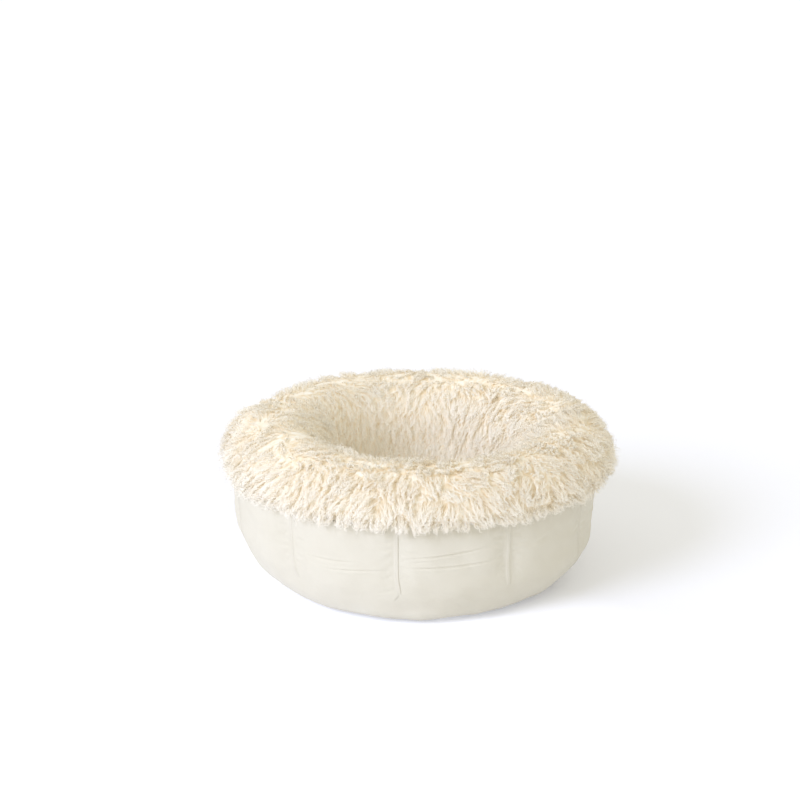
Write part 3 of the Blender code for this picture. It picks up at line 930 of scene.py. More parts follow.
def slack_at(slack, bearing, along):
    """The slack grid's shift between its points, on smooth curves through them."""
    rows, columns = slack.shape[:2]
    row = np.clip(along / wall_length, 0, 1) * (rows - 1)
    column = ((bearing - first_dart_bearing) % tau) / tau * columns
    row, column = np.broadcast_arrays(row, column)
    low, left = np.floor(row).astype(int), np.floor(column).astype(int)
    by_row, by_column = curve_shares(row - low), curve_shares(column - left)
    value = np.zeros(row.shape + (3,))
    for i in range(4):
        at_row = np.clip(low + i - 1, 0, rows - 1)
        for j in range(4):
            at_column = (left + j - 1) % columns
            share = by_row[i] * by_column[j]
            value += slack[at_row, at_column] * share[..., None]
    return value


def curve_shares(t):
    """Shares of four neighbouring points at t between the middle two."""
    return (
        -0.5 * t + t**2 - 0.5 * t**3,
        1 - 2.5 * t**2 + 1.5 * t**3,
        0.5 * t + 2 * t**2 - 1.5 * t**3,
        -0.5 * t**2 + 0.5 * t**3,
    )


def held_share(along, across, height):
    """1 where the wall's cloth is sewn down, 0 where it is free."""
    at_seams = np.maximum(hump(along / held_at_foot), hump((along - wall_length) / held_at_rim))
    up = eased((height - dart_end_height + held_below_dart) / held_fade)
    at_darts = hump(across / held_at_dart) * up
    return np.clip(np.maximum(at_seams, at_darts), 0, 1)


def wall_slack():
    """Lets the stuffing push the sewn wall cloth out; gives its shift on a grid."""
    along = np.linspace(0, wall_length, slack_rows)[:, None]
    bearing = (first_dart_bearing + np.arange(slack_columns) * tau / slack_columns)[None]
    radius, height, _, _ = wall_section(along)
    rest = round_axis(radius, height, bearing)
    mesh = quad_mesh("slack", rest.reshape(-1, 3), grid_quads(slack_rows, slack_columns))
    item = bpy.data.objects.new("slack", mesh)
    bpy.context.scene.collection.objects.link(item)
    held = np.broadcast_to(
        held_share(along, dart_distance(bearing), height), rest.shape[:2]
    ).ravel()
    group = item.vertex_groups.new(name="held")
    for index, weight in enumerate(held):
        group.add([index], float(weight), "REPLACE")
    cloth = item.modifiers.new("slack", "CLOTH")
    set_cloth(cloth.settings)
    cloth.settings.effector_weights.gravity = 0.0
    cloth.point_cache.frame_start = 1
    cloth.point_cache.frame_end = slack_frames
    scene = bpy.context.scene
    for step in range(1, slack_frames + 1):
        scene.frame_set(step)
    seen = item.evaluated_get(bpy.context.evaluated_depsgraph_get()).to_mesh()
    moved = np.empty(len(mesh.vertices) * 3, np.float32)
    seen.vertices.foreach_get("co", moved)
    scene.frame_set(1)
    bpy.data.objects.remove(item)
    shift = moved.reshape(rest.shape) - rest
    size = np.linalg.norm(shift, axis=-1, keepdims=True)
    return shift * slack_cap * np.tanh(size / slack_cap) / np.maximum(size, 1e-9)


def set_cloth(settings):
    for key, value in cloth_settings.items():
        setattr(settings, key, value)


def make_wall(material, slack):
    bearing, along = wall_bearings()[None], wall_lengths()[:, None]
    points = wall_points(bearing, along, slack)
    rows, columns = points.shape[:2]
    quads = grid_quads(rows, columns)
    keep = ~in_slot(bearing, along, rows, columns)
    mesh = quad_mesh("outer_wall", points.reshape(-1, 3), quads[keep])
    lay_cut(mesh, quads[keep], bearing, along)
    item = add_object("outer_wall", mesh, material)
    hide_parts("wall_cover")


def in_slot(bearing, along, rows, columns):
    """Which faces of the wall's grid the zip's slot takes away."""
    low, high = slot_edges()
    middle_row = (along[:-1, 0] + along[1:, 0]) / 2
    next_bearing = np.roll(bearing[0], -1)
    next_bearing[-1] += tau
    middle = (bearing[0] + next_bearing) / 2
    away = abs(turn_from(middle, zip_bearing))
    reach = slot_reach()
    across = (middle_row > low) & (middle_row < high)
    return (across[:, None] & (away < reach)[None]).ravel()


def lay_cut(mesh, quads, bearing, along):
    """The cloth's own flat layout, in metres, for its weave, and one for its finish."""
    columns = bearing.shape[1]
    row, column = np.divmod(quads, columns)
    wraps = (column == 0) & (column.max(axis=1, keepdims=True) == columns - 1)
    turn = bearing[0][column] + np.where(wraps, tau, 0)
    u = (turn - bearing[0, 0]) * wall_rim_radius
    v = along[:, 0][row]
    whole = np.stack([u / (tau * wall_rim_radius), v / wall_length], axis=-1)
    mesh.uv_layers.new(name="OFBake").data.foreach_set(
        "uv", whole.astype(np.float32).ravel()
    )
    mesh.uv_layers.new(name="cut").data.foreach_set(
        "uv", np.stack([u, v], axis=-1).astype(np.float32).ravel()
    )


def make_slot_hem(material, slack):
    """The slot's turned-in edge, one strip all round it."""
    low, high = slot_edges()
    reach = slot_reach()
    turns = np.linspace(zip_bearing - reach, zip_bearing + reach, slot_hem_columns)
    ups = np.linspace(low, high, slot_end_rows)[1:-1]
    ends = np.full(len(ups), reach)
    bearing = np.concatenate([turns, zip_bearing + ends, turns[::-1], zip_bearing - ends])
    level = np.ones(len(turns))
    along = np.concatenate([low * level, ups, high * level, ups[::-1]])
    inward_up = np.clip(((low + high) / 2 - along) / slot_half_width, -1, 1)
    past_corner = (abs(bearing - zip_bearing) - reach) * wall_foot_radius / slot_corner
    inward_round = -np.sign(bearing - zip_bearing) * np.clip(past_corner + 1, 0, 1)
    edge = wall_points(bearing, along, slack)
    _, _, out_radius, out_height = wall_section(along)
    out = round_axis(out_radius, out_height, bearing)
    up = round_axis(-out_height, out_radius, bearing)
    inward = unit(inward_up[:, None] * up + inward_round[:, None] * onward_way(bearing))
    rows = np.stack([edge + a * inward + b * out for a, b in slot_hem_roll])
    quads = grid_quads(len(slot_hem_roll), len(bearing))
    mesh = quad_mesh("slot_hem", rows.reshape(-1, 3), quads)
    add_object("slot_hem", mesh, material)


def stitches(bearing, along, upward, slack):
    """Paths of stitches at places on the wall; each dips into the cloth at its ends."""
    run = np.linspace(-0.5, 0.5, 5) * stitch_length
    lift = np.array(stitch_lifts)
    bearing = bearing[:, None] + (0 if upward else run[None] / wall_foot_radius)
    along = along[:, None] + (run[None] if upward else 0 * run[None])
    lift = np.broadcast_to(lift, bearing.shape if not upward else along.shape)
    bearing, along = np.broadcast_arrays(bearing, along)
    return wall_points(bearing, along, slack, lift)


def make_stitching(material, slack):
    """The two lines of stitches on each dart, and the line round the zip's slot."""
    start = wall_along(dart_end_height + stitch_start)
    ups = np.arange(start, wall_length, stitch_pitch)
    aside = (tuck_width / 2 - groove_width) / wall_rim_radius
    darts = first_dart_bearing + np.arange(dart_count) * tau / dart_count
    lines = np.concatenate([darts - aside, darts + aside])
    bearing, along = (x.ravel() for x in np.meshgrid(lines, ups, indexing="ij"))
    paths = [stitches(bearing, along, True, slack)]
    low, high = slot_edges()
    reach = zip_arc / 2 + slot_seam_tail / foot_middle
    step = stitch_pitch / foot_middle / slot_seam_closer
    round_slot = np.arange(-reach, reach, step) + zip_bearing
    for edge in (low - slot_seam_gap, high + slot_seam_gap):
        along = np.full(len(round_slot), edge)
        paths.append(stitches(round_slot, along, False, slack))
    paths = np.concatenate(paths)
    radii = np.broadcast_to(stitch_radius * np.array(stitch_taper), paths.shape[:2])
    mesh = tubes("wall_stitching", paths, radii, stitch_sides)
    add_object("wall_stitching", mesh, material)


def rim_section(along):
    """The rim under its pile, at lengths from the hem: radius, height, outward way."""
    straight = crown_centre_height - hem_height
    over = crown_half_width * pi
    turn = np.clip(along - straight, 0, over) / crown_half_width
    before = np.maximum(straight - along, 0)
    after = np.maximum(along - straight - over, 0)
    radius = crown_middle + crown_half_width * np.cos(turn)
    radius = radius + (hem_radius - wall_rim_radius) * before / straight
    height = crown_centre_height + crown_half_width * np.sin(turn) - before - after
    return radius, height, np.cos(turn), np.sin(turn)


def seat_section(along):
    """The seat under its pile, at lengths out from the middle."""
    share = np.minimum(along / seat_edge_radius, 1)
    height = seat_height + seat_crown * (1 - share**2)
    tilt = 2 * seat_crown * share / seat_edge_radius * (share < 1)
    size = np.sqrt(1 + tilt**2)
    return along, height, tilt / size, 1 / size


rim_length = crown_centre_height - hem_height + crown_half_width * pi
rim_length += crown_centre_height - seat_height


def scattered(section, start, stop, spacing, rng):
    """Places spread evenly but not in lines over a turned surface."""
    places = []
    row_share = 0.87
    for along in np.arange(start, stop, spacing * row_share):
        count = max(int(tau * section(np.array(along))[0] / spacing), 1)
        index = np.arange(count) + rng.uniform(0, 1)
        jitter = rng.uniform(-0.36, 0.36, (2, count))
        places.append(
            np.stack([along + jitter[0] * spacing, (index + jitter[1]) * tau / count])
        )
    along, bearing = np.concatenate(places, axis=1)
    return np.clip(along, 0, None), bearing % tau


def surface_frame(section, along, bearing, lift):
    """Points on a turned surface with the outward, falling and onward ways there."""
    radius, height, out_radius, out_height = section(along)
    points = round_axis(radius + lift * out_radius, height + lift * out_height, bearing)
    out = round_axis(out_radius, out_height, bearing)
    falling = round_axis(out_height, -out_radius, bearing)
    return points, out, falling, onward_way(bearing)


def tuft_share(bearing, turn):
    """How far the pile lies below its fullest, 0 to 1, at one place on the rim."""
    long_waves = np.sin(2 * bearing + 0.6 * turn) ** 2
    short_waves = np.sin(6 * bearing + 1.7 * turn) ** 2
    return 0.45 * long_waves + 0.55 * short_waves


def pile_swell(along, bearing):
    """Extra depth of the pile over the back of the rim and at its two shoulders."""
    outer = rim_section(along)[2]
    at_back = 0.5 + 0.5 * np.sin(bearing)
    at_right = hump(turn_from(bearing, right_shoulder) / right_half_width)
    at_left = hump(turn_from(bearing, left_shoulder) / left_half_width)
    swell = back_swell * at_back * (1 - abs(outer))
    outward, inward = eased(outer + 0.35), eased(0.35 - outer)
    swell = swell + outward * (right_swell * at_right + left_swell * at_left)
    to_left = 0.5 - 0.5 * np.cos(bearing)
    inner = inner_swell * to_left**2 - inner_hollow * (1 - to_left) ** 2
    deep = eased((rim_length - along) / inner_fade)
    return swell + inward * inner * deep


def pile_calm(bearing):
    """1 where the pile lies smooth, at the left and the back, 0 where it is ruffled."""
    return eased(0.5 + 0.8 * np.cos(bearing - calm_bearing))


def rim_locks(rng):
    """Root, ways, length and leans of each lock of the rim's pile."""
    whole = scattered(rim_section, 0.0, rim_length, lock_spacing, rng)
    fill = scattered(rim_section, 0.0, hem_fill_reach, lock_spacing, rng)
    along, bearing = np.concatenate([whole, fill], axis=1)
    filling = np.arange(len(along)) >= len(whole[0])
    lift = root_lift * (0.3 + 0.7 * eased(along / root_rise_reach)) * np.where(filling, 0.5, 1)
    lift = lift + pile_swell(along, bearing) * eased(along / swell_start_reach)
    roots, out, falling, onward = surface_frame(rim_section, along, bearing, lift)
    outer = rim_section(along)[2]
    side = np.tanh((outer + 0.45 * smooth_field(roots, side_wave, 21)) / 0.32)
    at_top = 1 - abs(outer)
    parting = turn_from(bearing, parting_bearing)
    parting = np.clip(1 - abs(parting) / parting_half_width, 0, 1) * np.sign(parting)
    parting = parting * eased(1.3 - abs(outer + 0.1) * 1.1)
    swirl = (0.55 + 0.55 * at_top) * smooth_field(roots, swirl_wave, 22)
    swirl += 0.35 * rng.normal(size=len(along)) + 0.8 * parting
    fall = unit(side[:, None] * falling + swirl[:, None] * onward)
    turn = np.arccos(np.clip(outer, -1, 1))
    at_hem = eased(1 - along / hem_reach)
    length = rim_lock_length * (0.90 + 0.20 * np.clip(outer, 0, 1)) * (1 - 0.22 * at_hem)
    length = length * (1 - 0.20 * tuft_share(bearing, turn)) * rng.uniform(0.82, 1.12, len(along))
    length = length * np.where(filling, 0.72, 1)
    calm = pile_calm(bearing) * (1 - at_hem)
    start = root_lean - root_lean_less_at_hem * at_hem + root_lean_more_at_parting * abs(parting)
    start = np.where(filling, root_lean_of_fill, start + root_lean_more_when_calm * calm)
    start = start + root_lean_spread * rng.normal(size=len(along))
    stop = tip_lean - tip_lean_less_at_hem * at_hem - tip_lean_less_at_top * at_top
    stop = np.where(filling, tip_lean_of_fill, stop + tip_lean_more_when_calm * calm)
    stop = stop + tip_lean_spread * (1 - 0.5 * calm) * rng.normal(size=len(along))
    return roots, out, fall, onward, length, start, stop, bearing


def seat_locks(rng):
    """Root, ways, length and leans of each lock of the seat's pile."""
    along, bearing = scattered(seat_section, *seat_pile_span, seat_spacing, rng)
    roots, out, falling, onward = surface_frame(seat_section, along, bearing, root_lift)
    turn = pi * smooth_field(roots, seat_wave, 31) + 0.5 * rng.normal(size=len(along))
    fall = unit(np.cos(turn)[:, None] * falling + np.sin(turn)[:, None] * onward)
    length = seat_lock_length * rng.uniform(0.8, 1.12, len(along))
    start = seat_root_lean + seat_root_spread * rng.normal(size=len(along))
    stop = seat_tip_lean + seat_tip_spread * rng.normal(size=len(along))
    return roots, out, fall, onward, length, start, stop, bearing


def lock_lines(roots, out, fall, length, start, stop):
    """Middle lines of locks that leave the surface and bow over towards their fall."""
    step = np.linspace(0, 1, strand_points)
    middle = (step[1:] + step[:-1]) / 2
    lean = start[:, None] + (stop - start)[:, None] * middle[None]
    ahead = np.cos(lean)[..., None] * out[:, None] + np.sin(lean)[..., None] * fall[:, None]
    pieces = ahead * (length / (strand_points - 1))[:, None, None]
    return roots[:, None] + np.concatenate(
        [np.zeros((len(roots), 1, 3)), np.cumsum(pieces, axis=1)], axis=1
    )


def gathered(lines, tufts, ruffled):
    """Draws the tips of neighbouring locks together into tufts."""
    roots, tips = lines[:, 0], lines[:, -1]
    nearest = np.empty(len(roots), int)
    for start in range(0, len(roots), 1000):
        block = roots[start : start + 1000]
        gaps = np.linalg.norm(block[:, None] - tufts[None], axis=-1)
        nearest[start : start + 1000] = gaps.argmin(axis=1)
    count = np.maximum(np.bincount(nearest, minlength=len(tufts)), 1)
    middle = np.stack(
        [np.bincount(nearest, tips[:, i], len(tufts)) / count for i in range(3)], axis=-1
    )
    pull = tuft_pull_share * np.linspace(0, 1, strand_points) ** 2
    pull = pull[None, :, None] * ruffled[:, None, None]
    return lines + pull * (middle[nearest] - tips)[:, None]


def curled(lines, reach, turns, phase):
    """Winds each line about itself, tighter to its root than to its tip."""
    ahead = unit(np.gradient(lines, axis=1))
    whole = unit(lines[:, -1] - lines[:, 0])
    across = np.cross(whole, whole[:, [1, 2, 0]] + 0.3)[:, None]
    first = unit(across - (across * ahead).sum(axis=2, keepdims=True) * ahead)
    second = np.cross(ahead, first)
    step = np.linspace(0, 1, strand_points)[None]
    angle = tau * turns[:, None] * step + phase[:, None]
    swell = reach[:, None] * step**0.75
    return lines + (
        first * (swell * np.cos(angle))[..., None]
        + second * (swell * np.sin(angle))[..., None]
    )


def strands(locks, section, start, stop, rng):
    """Paths, widths, facings and tones of some locks' strands, and their bearings."""
    roots, out, fall, onward, length, lean_start, lean_stop, bearing = locks
    lines = lock_lines(roots, out, fall, length, lean_start, lean_stop)
    tuft_along, tuft_bearing = scattered(section, start, stop, tuft_spacing, rng)
    tufts = surface_frame(section, tuft_along, tuft_bearing, root_lift)[0]
    ruffled = 1 - smooth_share * pile_calm(bearing)
    lines = gathered(lines, tufts, ruffled)
    count = len(roots)
    turns = rng.uniform(2.2, 3.9, count) * np.sign(rng.uniform(-1, 1, count))
    reach = curl_reach * rng.uniform(0.5, 1.4, count)
    lines = curled(lines, reach, turns, rng.uniform(0, tau, count))
    each = strands_per_lock
    disc = lock_half_width * np.sqrt(rng.uniform(0, 1, (count, each)))
    angle = rng.uniform(0, tau, (count, each))
    aside = (
        (disc * np.cos(angle))[..., None] * fall[:, None]
        + (disc * np.sin(angle))[..., None] * onward[:, None]
    )
    step = np.linspace(0, 1, strand_points)
    loose = 1 - gather_share * ruffled[:, None] * step**0.8
    share = rng.uniform(0.62, 1.08, (count, each))[..., None, None]
    paths = roots[:, None, None] + share * (lines - roots[:, None])[:, None]
    paths = paths + aside[:, :, None] * loose[:, None, :, None]
    paths = paths - root_sink * out[:, None, None]
    paths = paths.reshape(-1, strand_points, 3)
    total = len(paths)
    frizz = frizz_reach * rng.uniform(0.3, 1.6, total)
    paths = curled(paths, frizz, rng.uniform(2.0, 4.5, total), rng.uniform(0, tau, total))
    taper = tip_half_width + (strand_half_width - tip_half_width) * (1 - step**2.5)
    half_widths = taper[None] * rng.uniform(0.7, 1.2, total)[:, None]
    ruffle = 0.30 * np.repeat(ruffled, each)[:, None] * rng.normal(size=(total, 3))
    facing = unit(np.repeat(out, each, axis=0) + ruffle)
    lock_tone = np.repeat(rng.uniform(0, 1, count), each)
    tone = 0.6 * lock_tone + 0.4 * rng.uniform(0, 1, total)
    return paths, half_widths, facing, tone, np.repeat(bearing, each)


def make_pile(name, locks, section, start, stop, sectors, material, slot, rng):
    """The pile's strands, in one piece for each sector of the bed."""
    paths, widths, facing, tone, bearing = strands(locks, section, start, stop, rng)
    paths[..., 0] += pile_shift
    sector = np.minimum((bearing / tau * sectors).astype(int), sectors - 1)
    for index in range(sectors):
        here = sector == index
        piece = f"{name}_{index + 1:02d}"
        mesh = ribbons(piece, paths[here], widths[here], facing[here], tone[here])
        add_object(piece, mesh, material)


def skin_points(section, along, bearing, seed):
    """The pile's matted undercoat: soft ridges that run down the section."""
    lift = undercoat_lift * eased(along / skin_rise_reach + 0.25) - lip_tuck * (along < 0)
    if section is rim_section:
        lift = lift + pile_swell(along, bearing) * eased(along / swell_start_reach)
    points, out, _, _ = surface_frame(section, along, bearing, lift)
    lumps = 0.5 * smooth_field(points, lump_wave, seed)
    sway = 0.05 * smooth_field(points, sway_wave, seed + 1)
    flat = round_axis(crown_middle, ridge_stretch_share * along, bearing + sway)
    lumps = lumps + smooth_field(flat, ridge_wavelength, seed + 2, 40)
    lumps = lumps + 0.5 * smooth_field(flat, ridge_wavelength / 2, seed + 3, 40)
    height = undercoat_lumps * lumps * (1 - 0.6 * pile_calm(bearing))
    points = points + height[..., None] * out
    points[..., 0] += pile_shift
    return points, lumps


def make_undercoat(name, section, lengths, columns, material, slot, seed):
    bearing = (np.arange(columns) * tau / columns)[None]
    along, bearing = np.broadcast_arrays(lengths[:, None], bearing)
    points, lumps = skin_points(section, along, bearing, seed)
    mesh = quad_mesh(name, points.reshape(-1, 3), grid_quads(len(lengths), columns))
    # The undercoat's colour lies between root and middle: darker than the strands' tips and darker
    # still in the hollows between its lumps, painted shade under the strands. It is also a little
    # paler at the left and the back.
    smooth = 0.08 * pile_calm(bearing)
    add_numbers(mesh, "along", np.clip(0.24 + smooth + 0.28 * lumps, 0, 1))
    add_numbers(mesh, "tone", np.clip(0.5 + 0.4 * lumps, 0, 1))
    return add_object(name, mesh, material)


def ring_mesh(name, section, columns, relief=None, closed=True):
    """A section of (radius, height) points turned about the bed's upright axis."""
    section = np.asarray(section)
    bearing = np.arange(columns) * tau / columns
    radius = section[:, 0, None] + np.zeros(columns)[None]
    height = section[:, 1, None] + np.zeros(columns)[None]
    points = round_axis(radius, height, np.broadcast_to(bearing[None], radius.shape))
    if relief is not None:
        middle = section.mean(axis=0)
        away = section - middle
        away = away / np.maximum(np.linalg.norm(away, axis=1, keepdims=True), 1e-9)
        out = round_axis(away[:, 0, None], away[:, 1, None], bearing[None])
        points = points + relief(points, bearing)[..., None] * out
    quads = grid_quads(len(section), columns, close_rows=closed)
    return quad_mesh(name, points.reshape(-1, 3), quads)


def circle(middle, height, radius, steps):
    turn = np.arange(steps) * tau / steps
    return np.stack([middle + radius * np.cos(turn), height + radius * np.sin(turn)], axis=-1)


def ribbed(depth, count):
    """Relief of fine ribs across a turned piece."""
    def ribs(points, bearing):
        return depth * np.sin(bearing * count)[None] + 0 * points[..., 0]

    return ribs


def make_base(base_look, piping_look):
    """The dotted base cloth and the covered cord in its seam."""
    middle = base_thickness / 2
    edge = [
        (base_radius - base_edge_turn, base_thickness),
        (base_radius - base_edge_gap, middle + base_edge_rise),
        (base_radius - base_edge_gap, middle - base_edge_rise),
        (base_radius - base_edge_turn, 0.0),
    ]
    top = [(radius, base_thickness) for radius in base_rings]
    section = top + edge + [(radius, 0.0) for radius in base_rings[::-1]]
    mesh = ring_mesh("base_cloth", section, base_columns, closed=False)
    base = add_object("base_cloth", mesh, base_look)
    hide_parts("base_panel")
    cord = circle(piping_middle, piping_height, piping_radius, piping_sides)
    mesh = ring_mesh("seam_piping", cord, piping_columns, ribbed(piping_twist, piping_twists))
    piping = add_object("seam_piping", mesh, piping_look)
    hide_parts("base_piping")


def make_bindings(material):
    """The folded tapes that bind the two hidden seams."""
    for name, node_name in (("rim_tape", "rim_seam_binding"), ("seat_tape", "seat_seam_binding")):
        low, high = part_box(node_name)
        outer = float(high.x)
        bottom, top = float(low.z) + binding_end_gap, float(high.z) - binding_end_gap
        steps = np.linspace(bottom, top, binding_rows)
        section = [(outer - binding_face_gap, z) for z in steps]
        section += [(outer - binding_depth, z) for z in steps[::-1]]
        mesh = ring_mesh(name, section, binding_columns, ribbed(binding_rib, binding_ribs))
        item = add_object(name, mesh, material)
        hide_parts(node_name)


def ring_outline(inset):
    """Section of the stuffed ring: rounded foot, round top, upright inner side."""
    foot = foot_rounding - inset
    centre = foot_middle - bolster_slack
    crown = crown_half_width - inset
    low = np.linspace(-pi / 2, 0, 14)
    top = np.linspace(0, pi, 22)
    points = list(zip(centre + foot * np.cos(low), foot_rounding + foot * np.sin(low)))
    points += zip(crown_middle + crown * np.cos(top), crown_centre_height + crown * np.sin(top))
    inner = well_radius + inset
    points += [(inner, z) for z in np.linspace(crown_centre_height, inset, 10)[1:]]
    return points


def pad_outline(inset):
    """Section of the seat pad: flat foot, rounded edge, crowned top."""
    edge, rounding = well_radius - pad_gap - inset, pad_rounding - inset
    low, high = pad_bottom + inset, pad_top - inset
    flat = edge - rounding
    turn = np.linspace(-pi / 2, 0, 8)
    points = [(flat * share, low) for share in (0.0, 0.35, 0.7)]
    points += zip(flat + rounding * np.cos(turn), low + rounding + rounding * np.sin(turn))
    turn = np.linspace(0, pi / 2, 8)
    points += zip(flat + rounding * np.cos(turn), high - rounding + rounding * np.sin(turn))
    crown = seat_crown - pad_crown_loss
    return points + [(flat * s, high + crown * (1 - s * s)) for s in pad_top_shares]


def gathers(points, bearing):
    """Relief of a lining bag, drawn in by its seams."""
    long_wave, short_wave = gather_waves
    field = smooth_field(points, long_wave, 41) + 0.6 * smooth_field(points, short_wave, 42)
    return -gather_start - gather_depth * np.clip(field + 1, 0, 3)


def clumps(points, bearing):
    """Relief of loose stuffing."""
    field = smooth_field(points, clump_wave, 43)
    return -clump_start - clump_depth * np.clip(field + 1, 0, 3)


def make_stuffing(lining_look, fibre_look):
    """The two lining bags and the fibre in them."""
    lining = gathers, lining_look, "lining_cloth"
    fibre = clumps, fibre_look, "fibre_filling"
    pieces = (
        ("ring_lining", "bolster_casing", ring_outline(ring_lining_inset), *lining),
        ("ring_fibre", "bolster_filling", ring_outline(ring_fibre_inset), *fibre),
        ("seat_lining", "seat_casing", pad_outline(0.0), *lining),
        ("seat_fibre", "seat_filling", pad_outline(pad_fibre_inset), *fibre),
    )
    for name, node_name, outline, relief, look, slot in pieces:
        closed = name.startswith("ring")
        mesh = ring_mesh(name, outline, stuffing_columns, relief, closed)
        item = add_object(name, mesh, look)
        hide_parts(node_name)


def zip_place(across, depth, bearing):
    """A point by the zip: across it up the wall, below the cloth's face."""
    slope = zip_slope - across / foot_rounding
    reach = foot_rounding - depth
    return round_axis(
        foot_middle + reach * np.cos(slope), foot_rounding - reach * np.sin(slope), bearing
    )


def make_zip_tape(side, name, node_name, material):
    """A tape of the zip: beside its row, and meeting the other past the stops."""
    near = row_gap / 2 + row_width + row_clearance
    half = zip_arc / 2 + tape_tail
    bearing = np.linspace(zip_bearing - half, zip_bearing + half, tape_columns)[None]
    past_row = (abs(bearing - zip_bearing) - zip_arc / 2) * foot_middle / cos(zip_slope)
    inner = near - (near - tapes_apart) * eased((past_row - tape_meets) / tape_turn)
    share = np.linspace(0, 1, tape_rows)[:, None]
    across = side * (inner + share * (near + tape_width - inner))
    ribs = tape_rib * np.sin(bearing * tape_ribs) + tape_line * np.sin(across / tape_pitch * tau)
    points = zip_place(across, tape_depth + tape_sink + ribs, bearing)
    quads = grid_quads(tape_rows, tape_columns, close_columns=False)
    mesh = quad_mesh(name, points.reshape(-1, 3), quads)
    item = add_object(name, mesh, material)
    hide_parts(node_name)


def make_zip_row(side, name, node_name, material):
    """A row of the zip: coil turns side by side round a cord."""
    wire = coil_wire
    radius = float(zip_place(0.0, tape_depth, 0.0)[0])
    turns = np.arange(-zip_arc / 2, zip_arc / 2, tooth_pitch / radius) + zip_bearing
    near, far = row_gap / 2 - coil_reach + wire, row_gap / 2 + row_width - wire
    half_height = row_thickness / 2 - wire
    centre = tape_depth + tape_cloth / 2
    turn = np.linspace(0, tau, coil_steps)
    across = side * ((near + far) / 2 + (far - near) / 2 * np.cos(turn))
    depth = centre + half_height * np.sign(np.sin(turn)) * abs(np.sin(turn)) ** 0.6
    onward = 0.45 * tooth_pitch / radius * np.sin(turn / 2)
    paths = zip_place(across[None], depth[None], turns[:, None] + onward[None])
    coil = tubes(name, paths, np.full(paths.shape[:2], wire), coil_sides)
    item = add_object(name, coil, material)
    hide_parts(node_name)
    line = np.linspace(zip_bearing - zip_arc / 2, zip_bearing + zip_arc / 2, cord_points)
    level = np.ones(cord_points)
    path = zip_place(side * (row_gap + row_width) / 2 * level, centre * level, line)[None]
    cord = tubes(name + "_cord", path, np.full((1, cord_points), cord_radius), cord_sides)
    add_object(name + "_cord", cord, material)


def dress_hardware(metal):
    """The slider, its pull and the stops keep their forms, with eased edges."""
    for name in ("zip_slider", "zip_pull", "zip_closed_stop", "zip_open_stop"):
        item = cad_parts[name]
        item.data.materials.clear()
        item.data.materials.append(metal)
        bevel = item.modifiers.new("eased edges", "BEVEL")
        bevel.width = edge_bevel
        bevel.segments = 2
        bevel.limit_method = "ANGLE"
        bevel.angle_limit = edge_angle
        item.modifiers.new("even shading", "WEIGHTED_NORMAL").keep_sharp = True


def make_camera():
    """The photograph's view of the bed."""
    lens = bpy.data.cameras.new("view")
    lens.lens = camera_lens
    lens.sensor_width = camera_sensor
    camera = bpy.data.objects.new("view", lens)
    bpy.context.scene.collection.objects.link(camera)
    back = Vector((0, -cos(camera_elevation), sin(camera_elevation)))
    camera.location = Vector((0, 0, camera_aim_height)) + back * camera_distance
    right, below = aim_pixel
    pitch = camera_elevation - math.atan(below / image_focal)
    yaw = math.atan(right / image_focal)
    camera.rotation_euler = (pi / 2 - pitch, 0, yaw)
    bpy.context.scene.camera = camera


def make_light():
    """A soft key from the front left and an even surround that looks white."""
    scene = bpy.context.scene
    sun = bpy.data.lights.new("key", "SUN")
    sun.energy = key_strength
    sun.angle = key_softness
    sun.color = key_colour
    key = bpy.data.objects.new("key", sun)
    key.rotation_euler = Vector(key_direction).to_track_quat("-Z", "Y").to_euler()
    scene.collection.objects.link(key)
    world = bpy.data.worlds.new("surround")
    world.use_nodes = True
    tree = world.node_tree
    tree.nodes.clear()
    lit = node(tree, "ShaderNodeBackground", {"Color": surround_colour})
    lit.inputs["Strength"].default_value = surround_strength
    seen = node(tree, "ShaderNodeBackground", {"Color": (1, 1, 1, 1), "Strength": 1.0})
    path = node(tree, "ShaderNodeLightPath")
    both = node(tree, "ShaderNodeMixShader", {0: path.outputs["Is Camera Ray"]})
    tree.links.new(lit.outputs[0], both.inputs[1])
    tree.links.new(seen.outputs[0], both.inputs[2])
    out = node(tree, "ShaderNodeOutputWorld")
    tree.links.new(both.outputs[0], out.inputs["Surface"])
    scene.world = world
    scene.view_settings.view_transform = "Standard"


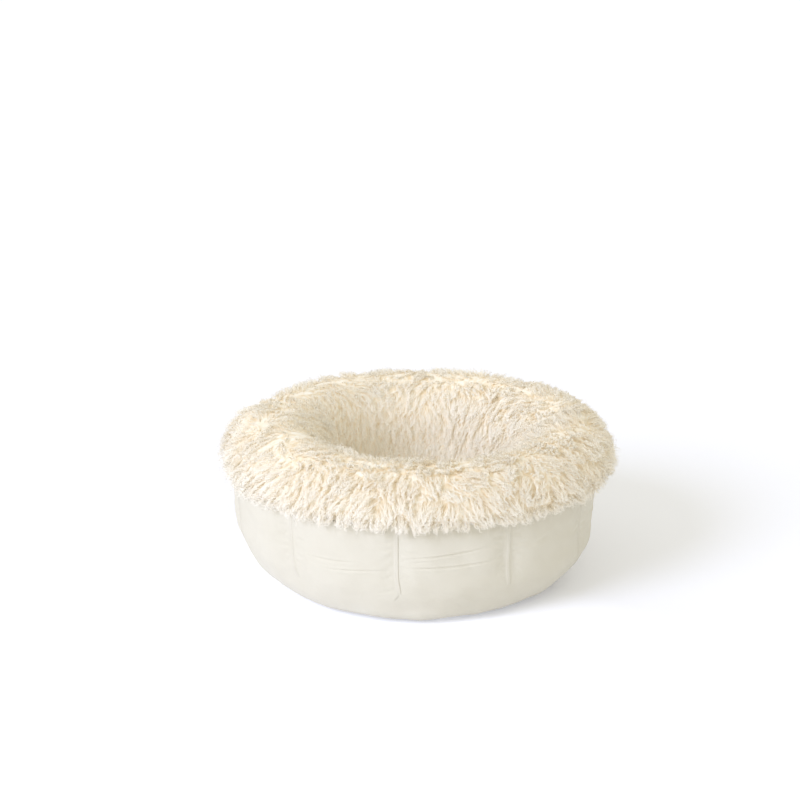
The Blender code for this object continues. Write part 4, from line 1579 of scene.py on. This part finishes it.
def make_floor():
    """A plain white floor that shows the bed's shadow, and glows more towards the front: painted
    light that lifts the bed's shade there.
    """
    half = floor_half_width
    points = np.array([(-half, -half, 0), (half, -half, 0), (half, half, 0), (-half, half, 0)])
    mesh = quad_mesh("floor", points - (0, 0, floor_drop), np.array([[0, 1, 2, 3]]))
    material, tree, shader = new_material("floor", {"Roughness": 0.9, "Emission Color": glow_colour})
    place = place_on(tree)
    patches = spread(tree, noise_of(tree, place, 3.0), 0.0, 1.0)
    inputs = {0: place, 1: front_glow_way}
    ahead = node(tree, "ShaderNodeVectorMath", inputs, operation="DOT_PRODUCT")
    # Painted light: the glow rises towards the front, lifting the bed's shade there.
    level = spread(tree, ahead.outputs["Value"], floor_glow, front_glow, *front_glow_band)
    path = node(tree, "ShaderNodeLightPath").outputs["Is Camera Ray"]
    inputs = {0: level, 1: spread(tree, path, other_ray_share, 1.0)}
    glow = node(tree, "ShaderNodeMath", inputs, operation="MULTIPLY").outputs[0]
    finish = {"Base Color": mixed(tree, patches, *floor_colours), "Emission Strength": glow}
    feed(tree, shader, finish)
    mesh.materials.append(material)
    floor = bpy.data.objects.new("floor", mesh)
    bpy.context.scene.collection.objects.link(floor)


def make_looks():
    """The finishes, by name."""
    looks = {key: cloth_material(*values) for key, values in cloth_looks.items()}
    looks |= {key: pile_material(*values) for key, values in pile_looks.items()}
    looks |= {key: hard_material(*values) for key, values in hard_looks.items()}
    looks["base"] = grip_material(*base_finish)
    looks["fibre"] = fibre_material(*fibre_finish)
    return looks


def make_rim_and_seat(looks):
    """The pile of the rim and of the seat, and the undercoats that replace the covers."""
    rng = np.random.default_rng(pile_seed)
    rim, seat = (looks["rim"], "cream_pile"), (looks["seat"], "seat_pile")
    make_pile("rim_pile", rim_locks(rng), rim_section, 0.0, rim_length, rim_sectors, *rim, rng)
    make_pile("seat_pile", seat_locks(rng), seat_section, *seat_pile_span, seat_sectors, *seat, rng)
    rim_rows = np.concatenate([[lip_start], np.linspace(0.0, rim_length, rim_skin_rows)])
    under = make_undercoat("rim_undercoat", rim_section, rim_rows, rim_skin_columns, *rim, 51)
    seat_rows = np.linspace(0.0, seat_skin_reach, seat_skin_rows)
    seat_under = make_undercoat(
        "seat_undercoat", seat_section, seat_rows, seat_skin_columns, *seat, 61
    )
    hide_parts("rim_fur_cover")
    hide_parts("seat_fur_cover")


def build():
    looks = make_looks()
    slack = wall_slack()
    make_wall(looks["wall"], slack)
    make_slot_hem(looks["hem"], slack)
    make_stitching(looks["thread"], slack)
    make_rim_and_seat(looks)
    make_base(looks["base"], looks["piping"])
    make_bindings(looks["tape"])
    make_stuffing(looks["lining"], looks["fibre"])
    for side, end in ((1, "upper"), (-1, "lower")):
        make_zip_tape(side, "tape_" + end, "zip_tape_" + end, looks["zip tape"])
        make_zip_row(side, "row_" + end, "zip_coil_" + end, looks["nylon"])
    dress_hardware(looks["metal"])
    make_camera()
    make_light()
    make_floor()


build()
